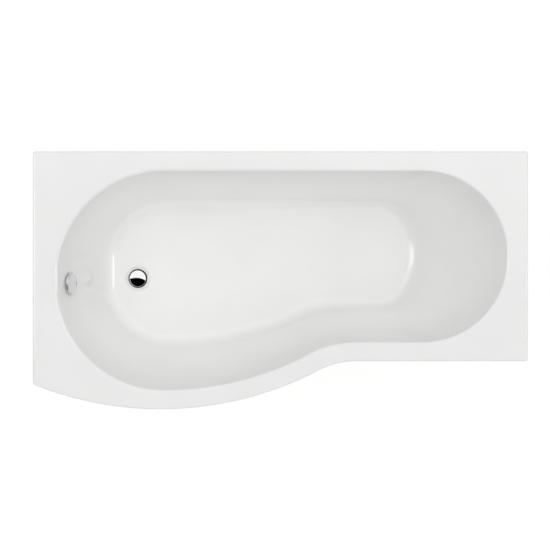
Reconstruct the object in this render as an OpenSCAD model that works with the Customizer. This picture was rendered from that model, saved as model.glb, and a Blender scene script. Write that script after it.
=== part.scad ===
// B-shaped acrylic shower bath on adjustable legs, with a sprung plug waste and an overflow.
// +X runs to the sloping head end, +Y to the wall, +Z up. The origin is on the room's floor,
// under the middle of the rim's rectangle. Sizes are in millimetres.

/* [Plan of the rim] */
// Length of the rim, wall to wall
bath_length = 1700; // [1660:5:1760]
// Width of the rim across the bowed showering end
wide_width = 885; // [870:5:900]
// Width of the rim across the straight bathing end
narrow_width = 720; // [705:5:740]
// Distance from the waste end to the widest point of the bow
bow_from_end = 439; // [420:1:450]
// Length of straight front edge at the head end
straight_front = 591; // [570:1:620]
// Radius of the hollow curve where the bow runs into the straight front
hollow_radius = 275; // [200:5:350]
// Height of the rim above the room's floor
rim_height = 545; // [530:1:570]
// Radius of the rim's corners in plan
corner_radius = 9; // [6:0.5:14]

/* [Rim] */
// Width of the rim along the wall
rim_back = 67; // [64:1:72]
// Width of the rim along the front
rim_front = 65; // [62:1:70]
// Width of the rim at the waste end
rim_waste_end = 79; // [74:1:84]
// Width of the rim at the head end
rim_head_end = 70; // [64:1:76]
// Depth of the turned-down outer edge
skirt_depth = 28; // [24:0.5:34]
// Radius where the rim turns down on the outside
outer_edge_radius = 6; // [5.6:0.1:9]
// Radius where the rim turns down into the basin
inner_edge_radius = 12; // [10:0.5:16]

/* [Basin] */
// Depth from the rim to the floor of the basin at the waste
basin_depth = 385; // [370:1:390]
// How far the wall-side wall leans in, rim to floor
lean_back = 92; // [80:1:100]
// How far the front wall leans in at the bow
lean_bow = 148; // [138:1:156]
// How far the front wall leans in at the straight part
lean_front = 118; // [110:1:126]
// How far the waste-end wall leans in
lean_waste_end = 141; // [134:1:148]
// How far the backrest leans in at the head end
lean_head_end = 295; // [285:1:305]
// Reach of the round waste end of the opening
round_waste_end = 372; // [360:1:380]
// Reach of the round head end of the opening
round_head_end = 290; // [280:1:300]
// Reach of the rounded waste end of the basin's floor
floor_round_waste_end = 225; // [212:1:236]
// Reach of the rounded head end of the basin's floor
floor_round_head_end = 133; // [120:1:150]
// How much nearer the waste end the floor's straight front starts than the rim's
floor_sweep_shift = 62; // [50:1:75]
// Radius of the floor's hollow curve, under the rim's
floor_hollow_radius = 255; // [200:5:320]
// Half the width of the flat strip that carries the overflow
flat_half = 62; // [56:1:68]
// Radius where the walls run into the floor
cove_radius = 55; // [50:1:62]
// Fall of the floor to the waste, as a share of the distance
floor_fall_ratio = 0.008; // [0.004:0.0005:0.012]

/* [Sheet] */
// Thickness of the acrylic
acrylic = 5; // [4:0.5:5.5]
// Least thickness of the glass-fibre backing
backing = 4; // [3:0.5:5]
// Gap between the turned-down edge and the backing inside it
backing_inset = 2; // [1:0.5:3]

/* [Timber] */
// Thickness of the board bonded under the floor
board_thickness = 16; // [14:1:18]
// How far the board's edge lies inside the floor's edge
board_inset = 22; // [18:1:30]
// Gap from the waste's centre to the board
board_gap = 80; // [72:1:95]
// Width of the rails under the rim
rail_width = 40; // [34:1:44]
// Depth of the rails under the rim
rail_depth = 22; // [20:1:25]

/* [Waste] */
// Distance of the waste's centre from the waste end
waste_from_end = 335; // [330:1:345]
// Distance of the waste's centre from the middle of the waste end, to the wall side
waste_from_middle = 6.5; // [0:0.5:12]
// Diameter of the chrome flange
flange_diameter = 70; // [68:0.5:73]
// Diameter of the plug's cap
plug_diameter = 59; // [57:0.5:60]
// Height that the plug rises from shut to open
plug_travel = 8; // [6:0.5:9]
// Depth of the dish that the flange sits in
dish_depth = 3; // [2.5:0.1:3.4]
// Diameter of the hole through the floor
waste_hole = 52; // [51:0.5:56]
// Diameter of the outlet's thread, which the trap screws on to
outlet_thread = 47.8; // [46:0.1:49]
// Length of the outlet's thread
outlet_length = 24; // [20:1:28]

/* [Overflow] */
// Depth of the overflow's centre below the rim
overflow_depth = 90; // [84:1:96]
// Distance of the overflow's centre from the middle of the waste end, to the front
overflow_from_middle = 11.5; // [5:0.5:18]
// Diameter of the chrome cover
cover_diameter = 76; // [72:1:80]
// Gap between the cover and the basin wall, where the water goes in
cover_gap = 3.5; // [3:0.1:4]
// Diameter of the hole through the wall
overflow_hole = 46; // [44:1:50]
// Outside diameter of the ribbed hose
hose_diameter = 26; // [24:0.5:27]
// Distance from rib to rib along the hose
rib_pitch = 8; // [7:0.5:10]

/* [Legs] */
// Width of the steel channels
channel_width = 40; // [36:1:46]
// Height of the steel channels
channel_height = 25; // [22:1:28]
// Thickness of the steel
steel = 2; // [1.5:0.1:2.5]
// Distance of the waste-end channel from the waste
channel_from_waste = 165; // [150:1:180]
// Distance of the head-end channel from the head end
channel_from_head = 500; // [480:1:520]
// Distance of the wall-side feet from the wall edge
foot_from_wall = 112; // [100:1:125]
// Distance of the front feet from the front edge, at the bow
foot_from_bow = 112; // [104:1:125]
// Distance of the front feet from the front edge, at the straight part
foot_from_front = 92; // [84:1:105]
// Diameter of the threaded studs
stud_diameter = 10; // [8:0.5:12]
// How far the threaded studs stand above the channels
stud_reach = 43; // [38:1:58]
// Diameter of the feet's pads
pad_diameter = 48; // [42:1:56]
// Height of the feet's pads
pad_height = 16; // [14:1:20]

/* [Wall brackets] */
// Distance from the middle bracket to each of the others
bracket_spacing = 520; // [450:10:560]
// Width of a bracket
bracket_width = 30; // [26:1:36]
// Drop of a bracket below the rail
bracket_drop = 44; // [38:1:50]
// Diameter of the hole for the wall screw
bracket_hole = 5.5; // [5:0.1:6.5]

/* [Hidden] */

fit_gap = 0.3;        // between pieces that move past each other
thread_gap = 0.1;     // between a screwed piece and its hole
seat_gap = 0.3;       // between pieces that are bedded on each other
curve_steps = 72;

half_length = bath_length / 2;
back_y = wide_width / 2;
bow_y = -wide_width / 2;
front_y = back_y - narrow_width;
bow_x = -half_length + bow_from_end;
sweep_x = half_length - straight_front;
floor_z = rim_height - basin_depth;
sheet = acrylic + backing;

/*
Plan outlines. An outline is a list of eight sizes:
[end_x, round_x, head_round_x, head_x, back_y, front_y, bow_y, sweep_x, hollow radius].
Every ring of points goes round clockwise from the flat strip at the waste end, and all rings
have the same number of points, so that any two of them join up.
*/
END_X = 0;
ROUND_X = 1;
HEAD_ROUND_X = 2;
HEAD_X = 3;
BACK = 4;
FRONT = 5;
BOW = 6;
SWEEP = 7;
HOLLOW = 8;

opening = [
    -half_length + rim_waste_end,
    -half_length + rim_waste_end + round_waste_end,
    half_length - rim_head_end - round_head_end,
    half_length - rim_head_end,
    back_y - rim_back,
    front_y + rim_front,
    bow_y + rim_front,
    sweep_x,
    hollow_radius + rim_front,
];
floor_plan = [
    opening[END_X] + lean_waste_end,
    opening[END_X] + lean_waste_end + floor_round_waste_end,
    opening[HEAD_X] - lean_head_end - floor_round_head_end,
    opening[HEAD_X] - lean_head_end,
    opening[BACK] - lean_back,
    opening[FRONT] + lean_front,
    opening[BOW] + lean_bow,
    sweep_x - floor_sweep_shift,
    floor_hollow_radius,
];

quarter_steps = 12;
flat_steps = 2;
back_steps = 5;
front_steps = 3;
hollow_steps = 6;
bow_steps = 8;
side_a = 5;           // points along the first side of a corner
side_b = 4;           // points along the second side of a corner

// Points from a towards b, leaving b out
function run(a, b, n) = [for (i = [0:n - 1]) a + (b - a) * i / n];
// Points on an ellipse about c, leaving the last angle out
function arc(c, a, b, from, to, n) =
    [for (i = [0:n - 1]) let (t = from + (to - from) * i / n) c + [a * cos(t), b * sin(t)]];
// Three points that round the corner k between p and q
function rounded(p, k, q) = [p, p / 4 + k / 2 + q / 4, q];
// A side, a rounded corner and another side, from p towards q
function cornered(p, from, k, to, q) =
    concat(run(p, from, side_a), rounded(from, k, to),
           [for (i = [1:side_b]) to + (q - to) * i / (side_b + 1)]);

// The S-shaped front between the bow's apex and the straight front: angle that it turns, and bow radius
function sweep_angle(dx, drop) = 2 * atan(drop / dx);
function bow_radius(dx, drop, hollow) = (dx * dx + drop * drop) / (2 * drop) - hollow;
function swept(apex_x, bow, sweep, front, hollow) =
    let (turn = sweep_angle(sweep - apex_x, front - bow),
         r = bow_radius(sweep - apex_x, front - bow, hollow))
    concat(arc([sweep, front - hollow], hollow, hollow, 90, 90 + turn, hollow_steps),
           arc([apex_x, bow + r], r, r, turn - 90, -90, bow_steps));

// Ring of an opening or a floor: two round ends, a straight back and the S-shaped front
function basin_ring(p) =
    let (waste_y = (p[BACK] + p[BOW]) / 2,
         waste_b = (p[BACK] - p[BOW]) / 2,
         waste_a = p[ROUND_X] - p[END_X],
         head_y = (p[BACK] + p[FRONT]) / 2,
         head_b = (p[BACK] - p[FRONT]) / 2,
         head_a = p[HEAD_X] - p[HEAD_ROUND_X],
         flat_angle = asin(flat_half / waste_b),
         flat_x = p[ROUND_X] - waste_a * cos(flat_angle))
    concat(
        run([flat_x, waste_y - flat_half], [flat_x, waste_y + flat_half], flat_steps),
        arc([p[ROUND_X], waste_y], waste_a, waste_b, 180 - flat_angle, 90, quarter_steps),
        run([p[ROUND_X], p[BACK]], [p[HEAD_ROUND_X], p[BACK]], back_steps),
        arc([p[HEAD_ROUND_X], head_y], head_a, head_b, 90, -90, 2 * quarter_steps),
        run([p[HEAD_ROUND_X], p[FRONT]], [p[SWEEP], p[FRONT]], front_steps),
        swept(p[ROUND_X], p[BOW], p[SWEEP], p[FRONT], p[HOLLOW]),
        arc([p[ROUND_X], waste_y], waste_a, waste_b, -90, flat_angle - 180, quarter_steps));

// Ring of the rim's outline, moved inwards by d
rim_bow_radius = bow_radius(sweep_x - bow_x, front_y - bow_y, hollow_radius);
function bow_line_y(x, d) =
    bow_y + rim_bow_radius - sqrt(pow(rim_bow_radius - d, 2) - pow(x - bow_x, 2));
function rim_ring(d) =
    let (left = -half_length + d, right = half_length - d, back = back_y - d, front = front_y + d,
         r = max(corner_radius - d, 1),
         waste_y = (opening[BACK] + opening[BOW]) / 2,
         head_y = (opening[BACK] + opening[FRONT]) / 2,
         bow_end = bow_line_y(left, d),
         bow_arc = rim_bow_radius - d,
         corner_turn = asin((left + r - bow_x) / bow_arc))
    concat(
        run([left, waste_y - flat_half], [left, waste_y + flat_half], flat_steps),
        cornered([left, waste_y + flat_half], [left, back - r], [left, back], [left + r, back],
                 [opening[ROUND_X], back]),
        run([opening[ROUND_X], back], [opening[HEAD_ROUND_X], back], back_steps),
        cornered([opening[HEAD_ROUND_X], back], [right - r, back], [right, back], [right, back - r],
                 [right, head_y]),
        cornered([right, head_y], [right, front + r], [right, front], [right - r, front],
                 [opening[HEAD_ROUND_X], front]),
        run([opening[HEAD_ROUND_X], front], [sweep_x, front], front_steps),
        swept(bow_x, bow_y + d, sweep_x, front, hollow_radius + d),
        arc([bow_x, bow_y + rim_bow_radius], bow_arc, bow_arc, -90, corner_turn - 90, side_a),
        rounded([left + r, bow_line_y(left + r, d)], [left, bow_end], [left, bow_end + r]),
        [for (i = [1:side_b])
            [left, bow_end + r] + ([left, waste_y - flat_half] - [left, bow_end + r]) * i / (side_b + 1)]);

opening_ring = basin_ring(opening);
floor_ring = basin_ring(floor_plan);
ring_points = len(opening_ring);

waste_end_middle = (opening[BACK] + opening[BOW]) / 2;
waste_xy = [-half_length + waste_from_end, waste_end_middle + waste_from_middle];
flange_r = flange_diameter / 2;
dish_r = flange_r + 4.5;
dish_lip_r = dish_r + 6;
// Height of the basin's floor at a point, with the fall to the waste
function fall_z(p, fall) = floor_z + max(norm(p - waste_xy) - dish_lip_r, 0) * fall;

/*
Sections. Each column of points lies in the upright plane through an opening point and its floor
point. It rounds over the rim's inner edge, follows the straight wall and rounds into the floor.
depth is how far the surface lies under the basin's face, measured square to it.
*/
edge_turns = [0, 0.25, 0.5, 0.75, 1];
cove_turns = [1, 0.8, 0.6, 0.4, 0.2, 0];
skirt_turns = [0, 30, 60, 90];

function wall_turn(i, fall) =
    atan2(rim_height - fall_z(floor_ring[i], fall), norm(floor_ring[i] - opening_ring[i]));
function section_point(i, along, z) =
    let (way = (floor_ring[i] - opening_ring[i]) / norm(floor_ring[i] - opening_ring[i]),
         p = opening_ring[i] + way * along)
    [p[0], p[1], z];
function edge_point(i, share, depth, fall) =
    let (turn = wall_turn(i, fall), t = turn * share, reach = inner_edge_radius * tan(turn / 2))
    section_point(i, -reach + (inner_edge_radius - depth) * sin(t),
                  rim_height - inner_edge_radius + (inner_edge_radius - depth) * cos(t));
function cove_point(i, share, depth, fall) =
    let (turn = wall_turn(i, fall), t = turn * share, reach = cove_radius * tan(turn / 2),
         span = norm(floor_ring[i] - opening_ring[i]))
    section_point(i, span + reach - (cove_radius + depth) * sin(t),
                  fall_z(floor_ring[i], fall) + cove_radius - (cove_radius + depth) * cos(t));
function dish_ring(r, z) =
    [for (p = floor_ring)
        let (way = (p - waste_xy) / norm(p - waste_xy)) [waste_xy[0] + r * way[0], waste_xy[1] + r * way[1], z]];
function raised(ring, z) = [for (p = ring) [p[0], p[1], z]];

// The turned-down outer edge and its round, at a depth under the face
function skirt_rings(depth) = concat(
    [raised(rim_ring(depth), rim_height - skirt_depth)],
    [for (t = skirt_turns)
        raised(rim_ring(outer_edge_radius - (outer_edge_radius - depth) * cos(t)),
               rim_height - outer_edge_radius + (outer_edge_radius - depth) * sin(t))]);
// From the rim's inner edge to the foot of the walls
function wall_rings(depth, fall) = concat(
    [for (s = edge_turns) [for (i = [0:ring_points - 1]) edge_point(i, s, depth, fall)]],
    [for (s = cove_turns) [for (i = [0:ring_points - 1]) cove_point(i, s, depth, fall)]]);
// The dish round the waste
function dish_rings(depth) = [
    dish_ring(dish_lip_r, floor_z - depth),
    dish_ring(dish_r, floor_z - dish_depth - depth),
];

function flipped(list) = [for (i = [len(list) - 1:-1:0]) list[i]];
function flat_list(lists) = [for (l = lists) each l];
// Triangles between neighbouring rings. The first rings run backwards, and are split the other way,
// so that two sheets which share a surface share its triangles as well.
function strip_faces(count, n, backward = 0) =
    [for (k = [0:count - 2], i = [0:n - 1])
        let (a = k * n + i, b = k * n + (i + 1) % n)
        each k < backward ? [[a, b, a + n], [b, b + n, a + n]] : [[a, b, b + n], [a, b + n, a + n]]];
// A fan that closes a ring at its centre point
function fan_faces(from, centre, n, out) =
    [for (i = [0:n - 1]) let (a = from + i, b = from + (i + 1) % n) out ? [a, b, centre] : [b, a, centre]];

// A closed sheet between an upper and a lower stack of rings, both running from the outside in
module sheet_between(upper, lower, upper_z, lower_z) {
    n = ring_points;
    rings = concat(flipped(lower), upper);
    points = concat(flat_list(rings), [
        [waste_xy[0], waste_xy[1], lower_z],
        [waste_xy[0], waste_xy[1], upper_z],
    ]);
    last = n * len(rings);
    faces = concat(strip_faces(len(rings), n, len(lower)), fan_faces(0, last, n, false),
                   fan_faces(last - n, last + 1, n, true));
    polyhedron(points = points, faces = faces, convexity = 10);
}

module at_waste(z) {
    translate([waste_xy[0], waste_xy[1], z]) children();
}

// Overflow frame: its origin is on the basin's face, +Z points into the basin
flat_mid = flat_steps / 2;
wall_lean = 90 - wall_turn(flat_mid, floor_fall_ratio);
overflow_z = rim_height - overflow_depth;
overflow_x = opening_ring[flat_mid][0]
    + overflow_depth * (floor_ring[flat_mid][0] - opening_ring[flat_mid][0])
    / (rim_height - fall_z(floor_ring[flat_mid], floor_fall_ratio));
overflow_lean = atan2(floor_ring[flat_mid][0] - opening_ring[flat_mid][0],
                      rim_height - fall_z(floor_ring[flat_mid], floor_fall_ratio));
overflow_at = [overflow_x, waste_end_middle - overflow_from_middle, overflow_z];
into_basin = [cos(overflow_lean), 0, sin(overflow_lean)];
down_wall = [sin(overflow_lean), 0, -cos(overflow_lean)];

module at_overflow() {
    translate(overflow_at) rotate([0, 90 - overflow_lean, 0]) children();
}

// The moulded tub
module acrylic_tub() {
    color("white")
    difference() {
        sheet_between(concat(skirt_rings(0), wall_rings(0, floor_fall_ratio), dish_rings(0)),
                      concat(skirt_rings(acrylic), wall_rings(acrylic, floor_fall_ratio), dish_rings(acrylic)),
                      floor_z - dish_depth, floor_z - dish_depth - acrylic);
        at_waste(floor_z - 3 * sheet) cylinder(d = waste_hole, h = 6 * sheet, $fn = curve_steps);
        at_overflow() cylinder(d = overflow_hole, h = 6 * sheet, center = true, $fn = curve_steps);
    }
}

// The glass-fibre laminate on its underside, level underneath the floor
module glassfibre_backing() {
    rim_edge = acrylic + backing_inset;
    color("khaki")
    difference() {
        sheet_between(concat([raised(rim_ring(rim_edge), rim_height - acrylic)],
                             wall_rings(acrylic, floor_fall_ratio), dish_rings(acrylic)),
                      concat([raised(rim_ring(rim_edge), rim_height - sheet)],
                             wall_rings(sheet, 0),
                             [dish_ring(dish_lip_r, floor_z - sheet), dish_ring(dish_r, floor_z - sheet)]),
                      floor_z - dish_depth - acrylic, floor_z - sheet);
        at_waste(floor_z - 3 * sheet) cylinder(d = waste_hole, h = 6 * sheet, $fn = curve_steps);
        at_overflow() cylinder(d = overflow_hole, h = 6 * sheet, center = true, $fn = curve_steps);
    }
}

/*
Timber: the board under the floor and the rails under the rim.
*/
board_z = floor_z - sheet - board_thickness;
rail_z = rim_height - sheet - rail_depth;
rail_edge = acrylic + backing_inset;
rail_end_gap = 4;
rail_bevel = 1;
screw_r = 2;
screw_head_r = 4.2;
screw_head = 2.4;
screw_point = 3;
screw_bite = 12;

channel_x = [waste_xy[0] + channel_from_waste, half_length - channel_from_head];
wall_foot_y = back_y - foot_from_wall;
front_foot_y = [bow_line_y(channel_x[0], 0) + foot_from_bow, front_y + foot_from_front];
plate_xy = [(channel_x[0] + channel_x[1]) / 2, (floor_plan[BACK] + floor_plan[FRONT]) / 2];
plate_half = 42;
plate_screw = 30;
channel_screw_x = channel_width / 4;
channel_screw_inset = 60;
channel_screw_y = [
    [floor_plan[BOW] + channel_screw_inset, floor_plan[BACK] - channel_screw_inset],
    [floor_plan[FRONT] + channel_screw_inset, floor_plan[BACK] - channel_screw_inset],
];
board_screws = concat(
    [for (c = [0, 1], y = channel_screw_y[c], side = [-1, 1]) [channel_x[c] + side * channel_screw_x, y]],
    [for (sx = [-1, 1], sy = [-1, 1]) plate_xy + [sx, sy] * plate_screw]);

// The floor's outline moved inwards by d
function floor_inset(d) = [
    floor_plan[END_X] + d, floor_plan[ROUND_X], floor_plan[HEAD_ROUND_X], floor_plan[HEAD_X] - d,
    floor_plan[BACK] - d, floor_plan[FRONT] + d, floor_plan[BOW] + d, floor_plan[SWEEP], floor_plan[HOLLOW] + d,
];

module base_board() {
    start_x = waste_xy[0] + board_gap;
    color("peru")
    difference() {
        translate([0, 0, board_z]) linear_extrude(board_thickness)
            intersection() {
                polygon(basin_ring(floor_inset(board_inset)));
                translate([start_x, -wide_width]) square([bath_length, 2 * wide_width]);
            }
        for (p = board_screws)
            translate([p[0], p[1], board_z - 1]) cylinder(r = screw_r + thread_gap, h = screw_bite + 1, $fn = 24);
    }
}

// A strip of rail between two insets of the rim, over part of the ring
module rail_along(first, last) {
    outer = rim_ring(rail_edge);
    inner = rim_ring(rail_edge + rail_width);
    translate([0, 0, rail_z]) linear_extrude(rail_depth)
        polygon(concat([for (i = [first:last]) outer[i]], [for (i = [last:-1:first]) inner[i]]));
}
function planed(w, h, b) = [
    [b, 0], [w - b, 0], [w, b], [w, h - b], [w - b, h], [b, h], [0, h - b], [0, b],
];
module straight_rail(x0, y0, x1, y1) {
    section = planed(rail_width, rail_depth, rail_bevel);
    if (x1 - x0 > y1 - y0) translate([x0, y0, rail_z]) rotate([90, 0, 90]) linear_extrude(x1 - x0) polygon(section);
    else translate([x0, y1, rail_z]) rotate([90, 0, 0]) linear_extrude(y1 - y0) polygon(section);
}

rail_turn_x = half_length - rail_edge - rail_width - rail_end_gap;
bracket_x = [for (k = [-1, 0, 1]) k * bracket_spacing];
bracket_screw_y = back_y - rail_edge - rail_width / 2;
bracket_screw_x = bracket_width / 4;

module rail_back() {
    top = back_y - rail_edge;
    color("burlywood")
    difference() {
        straight_rail(-rail_turn_x, top - rail_width, rail_turn_x, top);
        for (x = bracket_x, side = [-1, 1])
            translate([x + side * bracket_screw_x, bracket_screw_y, rail_z - 1])
                cylinder(r = screw_r + thread_gap, h = screw_bite + 1, $fn = 24);
    }
}
module rail_front() {
    low = front_y + rail_edge;
    color("burlywood") straight_rail(sweep_x + rail_end_gap, low, rail_turn_x, low + rail_width);
}
module rail_bow() {
    first = flat_steps + 3 * quarter_steps + back_steps + front_steps;
    color("burlywood") rail_along(first, first + hollow_steps + bow_steps + side_a);
}
module rail_waste_end() {
    left = -half_length + rail_edge;
    low = bow_line_y(left + rail_width, rail_edge) + rail_width + rail_end_gap;
    color("burlywood") straight_rail(left, low, left + rail_width, back_y - rail_edge);
}
module rail_head_end() {
    right = half_length - rail_edge;
    color("burlywood") straight_rail(right - rail_width, front_y + rail_edge, right, back_y - rail_edge);
}

/*
Waste. Heights are measured from the floor of the dish.
*/
dish_z = floor_z - dish_depth;
seal_thickness = 1.5;
flange_lip = 2.6;
flange_top = dish_z + seal_thickness + flange_lip;
throat_r = 20.5;
spigot_r = 24;
spigot_z = dish_z - 34;
flange_rim = 0.9;
flange_step = 1.5;
throat_chamfer = 3;
seat_z = flange_top - flange_step;
gasket_thickness = 4;
gasket_r = 38;
gasket_z = floor_z - sheet - gasket_thickness;
collar_thickness = 4;
body_r = 30;
body_wall = 3;
body_floor_z = dish_z - 56;
outlet_r = outlet_thread / 2;
outlet_bore_r = outlet_r - 3.5;
outlet_z = body_floor_z - outlet_length;
inlet_z = dish_z - 44;
pipe_r = 11.5;
pipe_bore_r = 8.8;
pipe_length = 20;

hub_r = 11;
hub_top = dish_z - 9;
hub_height = 7;
barrel_r = 7.5;
barrel_top = dish_z - 0.5;
barrel_bottom = dish_z - 31;
barrel_wall = 2;
barrel_collar_r = 9.5;
barrel_collar = 2.5;
rod_r = 3;
piston_r = barrel_r - barrel_wall - fit_gap;
piston_height = 4;
piston_top = barrel_top - barrel_wall - fit_gap;
spring_wire = 1;
spring_turns = 6;
cap_rise = 3.8;
cap_edge = 1.6;
cap_r = plug_diameter / 2;
cap_boss_r = 7;
cap_boss_depth = 3;
plug_seal_r = cap_r - 1;
// The flange falls from its lip to a flat seat as wide as the plug's seal
flange_seat_r = plug_seal_r + seat_gap;
plug_seal_thickness = 2;
plug_seal_wall = 4.5;
// Underside of the cap when the plug is shut, and at rest, when it is open
cap_shut_z = seat_z + plug_seal_thickness + seat_gap;
cap_z = cap_shut_z + plug_travel;

module waste_flange() {
    color("silver")
    at_waste(0) {
        rotate_extrude($fn = curve_steps)
            polygon([
                [throat_r, spigot_z], [spigot_r, spigot_z], [spigot_r, dish_z + seal_thickness],
                [flange_r, dish_z + seal_thickness], [flange_r, flange_top - 0.4], [flange_r - 0.4, flange_top],
                [flange_r - flange_rim, flange_top], [flange_seat_r, seat_z],
                [throat_r + throat_chamfer, seat_z], [throat_r, seat_z - throat_chamfer],
            ]);
        difference() {
            union() {
                translate([0, 0, hub_top - hub_height]) cylinder(r = hub_r, h = hub_height, $fn = curve_steps);
                for (turn = [30:120:270]) rotate(turn)
                    translate([hub_r - 3, -1.5, hub_top - hub_height + 0.5])
                        cube([throat_r - hub_r + 4, 3, hub_height - 1.5]);
            }
            translate([0, 0, hub_top - hub_height - 1])
                cylinder(r = barrel_r + thread_gap, h = hub_height + 2, $fn = curve_steps);
        }
    }
}
module ring(inner, outer, z, h) {
    at_waste(z) difference() {
        cylinder(r = outer, h = h, $fn = curve_steps);
        translate([0, 0, -1]) cylinder(r = inner, h = h + 2, $fn = curve_steps);
    }
}
module flange_seal() {
    color("dimgray") ring(waste_hole / 2, flange_r - 1.5, dish_z, seal_thickness);
}
module under_gasket() {
    color("black") ring(spigot_r + seat_gap, gasket_r, gasket_z, gasket_thickness);
}
module waste_body() {
    top = gasket_z;
    color("dimgray")
    at_waste(0) {
        difference() {
            union() {
                rotate_extrude($fn = curve_steps)
                    polygon([
                        [0, outlet_z], [outlet_r - 1.2, outlet_z], [outlet_r, outlet_z + 1.2],
                        [outlet_r, body_floor_z - 2],
                        [body_r - 1, body_floor_z - 2], [body_r, body_floor_z - 1],
                        [body_r, top - collar_thickness], [gasket_r, top - collar_thickness],
                        [gasket_r, top], [0, top],
                    ]);
                translate([0, 0, inlet_z]) rotate([0, -90, 0])
                    cylinder(r = pipe_r, h = body_r + pipe_length, $fn = curve_steps);
            }
            translate([0, 0, outlet_z - 1]) cylinder(r = outlet_bore_r, h = top - outlet_z + 2, $fn = curve_steps);
            translate([0, 0, spigot_z - seat_gap])
                cylinder(r = spigot_r + thread_gap, h = top - spigot_z + 2, $fn = curve_steps);
            translate([0, 0, body_floor_z + body_wall])
                cylinder(r = body_r - body_wall - 1, h = spigot_z - 2 - body_floor_z - body_wall, $fn = curve_steps);
            translate([0, 0, inlet_z]) rotate([0, -90, 0])
                cylinder(r = pipe_bore_r, h = body_r + pipe_length + 1, $fn = curve_steps);
        }
    }
}
module click_barrel() {
    color("ivory")
    at_waste(0) difference() {
        union() {
            translate([0, 0, barrel_bottom]) cylinder(r = barrel_r, h = barrel_top - barrel_bottom, $fn = curve_steps);
            translate([0, 0, hub_top]) cylinder(r = barrel_collar_r, h = barrel_collar, $fn = curve_steps);
        }
        translate([0, 0, barrel_bottom + barrel_wall])
            cylinder(r = barrel_r - barrel_wall, h = barrel_top - barrel_bottom - 2 * barrel_wall, $fn = curve_steps);
        translate([0, 0, barrel_top - barrel_wall - 1])
            cylinder(r = rod_r + fit_gap, h = barrel_wall + 2, $fn = curve_steps);
    }
}

// Round wire that climbs in even turns about the Z axis, with a flatter turn at each end
spring_steps = 12;
wire_sides = 6;
module coil(radius, wire, height, turns) {
    steps = turns * spring_steps;
    lead = spring_steps;
    lead_climb = 1.5 * wire;
    climb = (height - wire - 2 * lead_climb) / (steps - 2 * lead);
    points = [for (k = [0:steps], j = [0:wire_sides - 1])
        let (around = 360 * k / spring_steps,
             z = wire / 2 + (k < lead ? lead_climb * k / lead
                 : k > steps - lead ? height - wire - lead_climb * (steps - k) / lead
                 : lead_climb + (k - lead) * climb),
             r = radius + wire / 2 * cos(360 * j / wire_sides))
        [r * cos(around), r * sin(around), z + wire / 2 * sin(360 * j / wire_sides)]];
    n = wire_sides;
    sides = [for (k = [0:steps - 1], j = [0:n - 1])
        let (a = k * n + j, b = k * n + (j + 1) % n)
        each [[a, b, b + n], [a, b + n, a + n]]];
    ends = concat([for (j = [1:n - 2]) [0, j + 1, j]],
                  [for (j = [1:n - 2]) [steps * n, steps * n + j, steps * n + j + 1]]);
    polyhedron(points = points, faces = concat(sides, ends), convexity = 10);
}
module click_spring() {
    foot = barrel_bottom + barrel_wall;
    color("lightgray")
    at_waste(foot) coil(piston_r - spring_wire / 2 - fit_gap, spring_wire,
                        piston_top - piston_height - foot, spring_turns);
}
module plug_spindle() {
    color("gainsboro")
    at_waste(0) {
        rotate_extrude($fn = curve_steps)
            polygon([
                [0, piston_top - piston_height], [piston_r - 0.4, piston_top - piston_height],
                [piston_r, piston_top - piston_height + 0.4], [piston_r, piston_top - 2.6],
                [piston_r - 0.5, piston_top - 2.3], [piston_r - 0.5, piston_top - 1.5],
                [piston_r, piston_top - 1.2], [piston_r, piston_top - 0.4], [piston_r - 0.4, piston_top],
                [rod_r, piston_top], [rod_r, cap_z - 3.8], [rod_r - 0.4, cap_z - 3.6], [rod_r - 0.4, cap_z - 3.2],
                [rod_r, cap_z - 3], [rod_r, cap_z], [0, cap_z],
            ]);
    }
}
module plug_cap() {
    dome_r = (cap_r * cap_r + cap_rise * cap_rise) / (2 * cap_rise);
    steps = 16;
    dome = [for (i = [0:steps]) let (r = cap_r * (1 - i / steps))
        [r, cap_edge + cap_rise - dome_r + sqrt(dome_r * dome_r - r * r)]];
    color("silver")
    at_waste(cap_z) {
        rotate_extrude($fn = curve_steps) polygon(concat([[0, 0], [cap_r - 0.6, 0], [cap_r, 0.6]], dome));
        difference() {
            translate([0, 0, -cap_boss_depth]) cylinder(r = cap_boss_r, h = cap_boss_depth, $fn = curve_steps);
            translate([0, 0, -cap_boss_depth - 1])
                cylinder(r = rod_r + thread_gap, h = cap_boss_depth + 1, $fn = curve_steps);
        }
    }
}
module plug_seal() {
    color("black") ring(plug_seal_r - plug_seal_wall, plug_seal_r, cap_z - plug_seal_thickness, plug_seal_thickness);
}

/*
Overflow. Heights in its frame are measured from the basin's face.
*/
cover_r = cover_diameter / 2;
cover_depth = 10;
cover_wall = 2.5;
cover_boss_r = 8;
over_stud_r = 4;
over_stud_length = 45;
over_gasket_r = 31;
over_gasket = 3;
elbow_flange = 4;
elbow_r = 27;
elbow_depth = 32;
elbow_wall = 3;
elbow_hub_r = 8;
elbow_face = -sheet - over_gasket;
elbow_mid = elbow_face - elbow_flange - pipe_r - 2.5;

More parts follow.
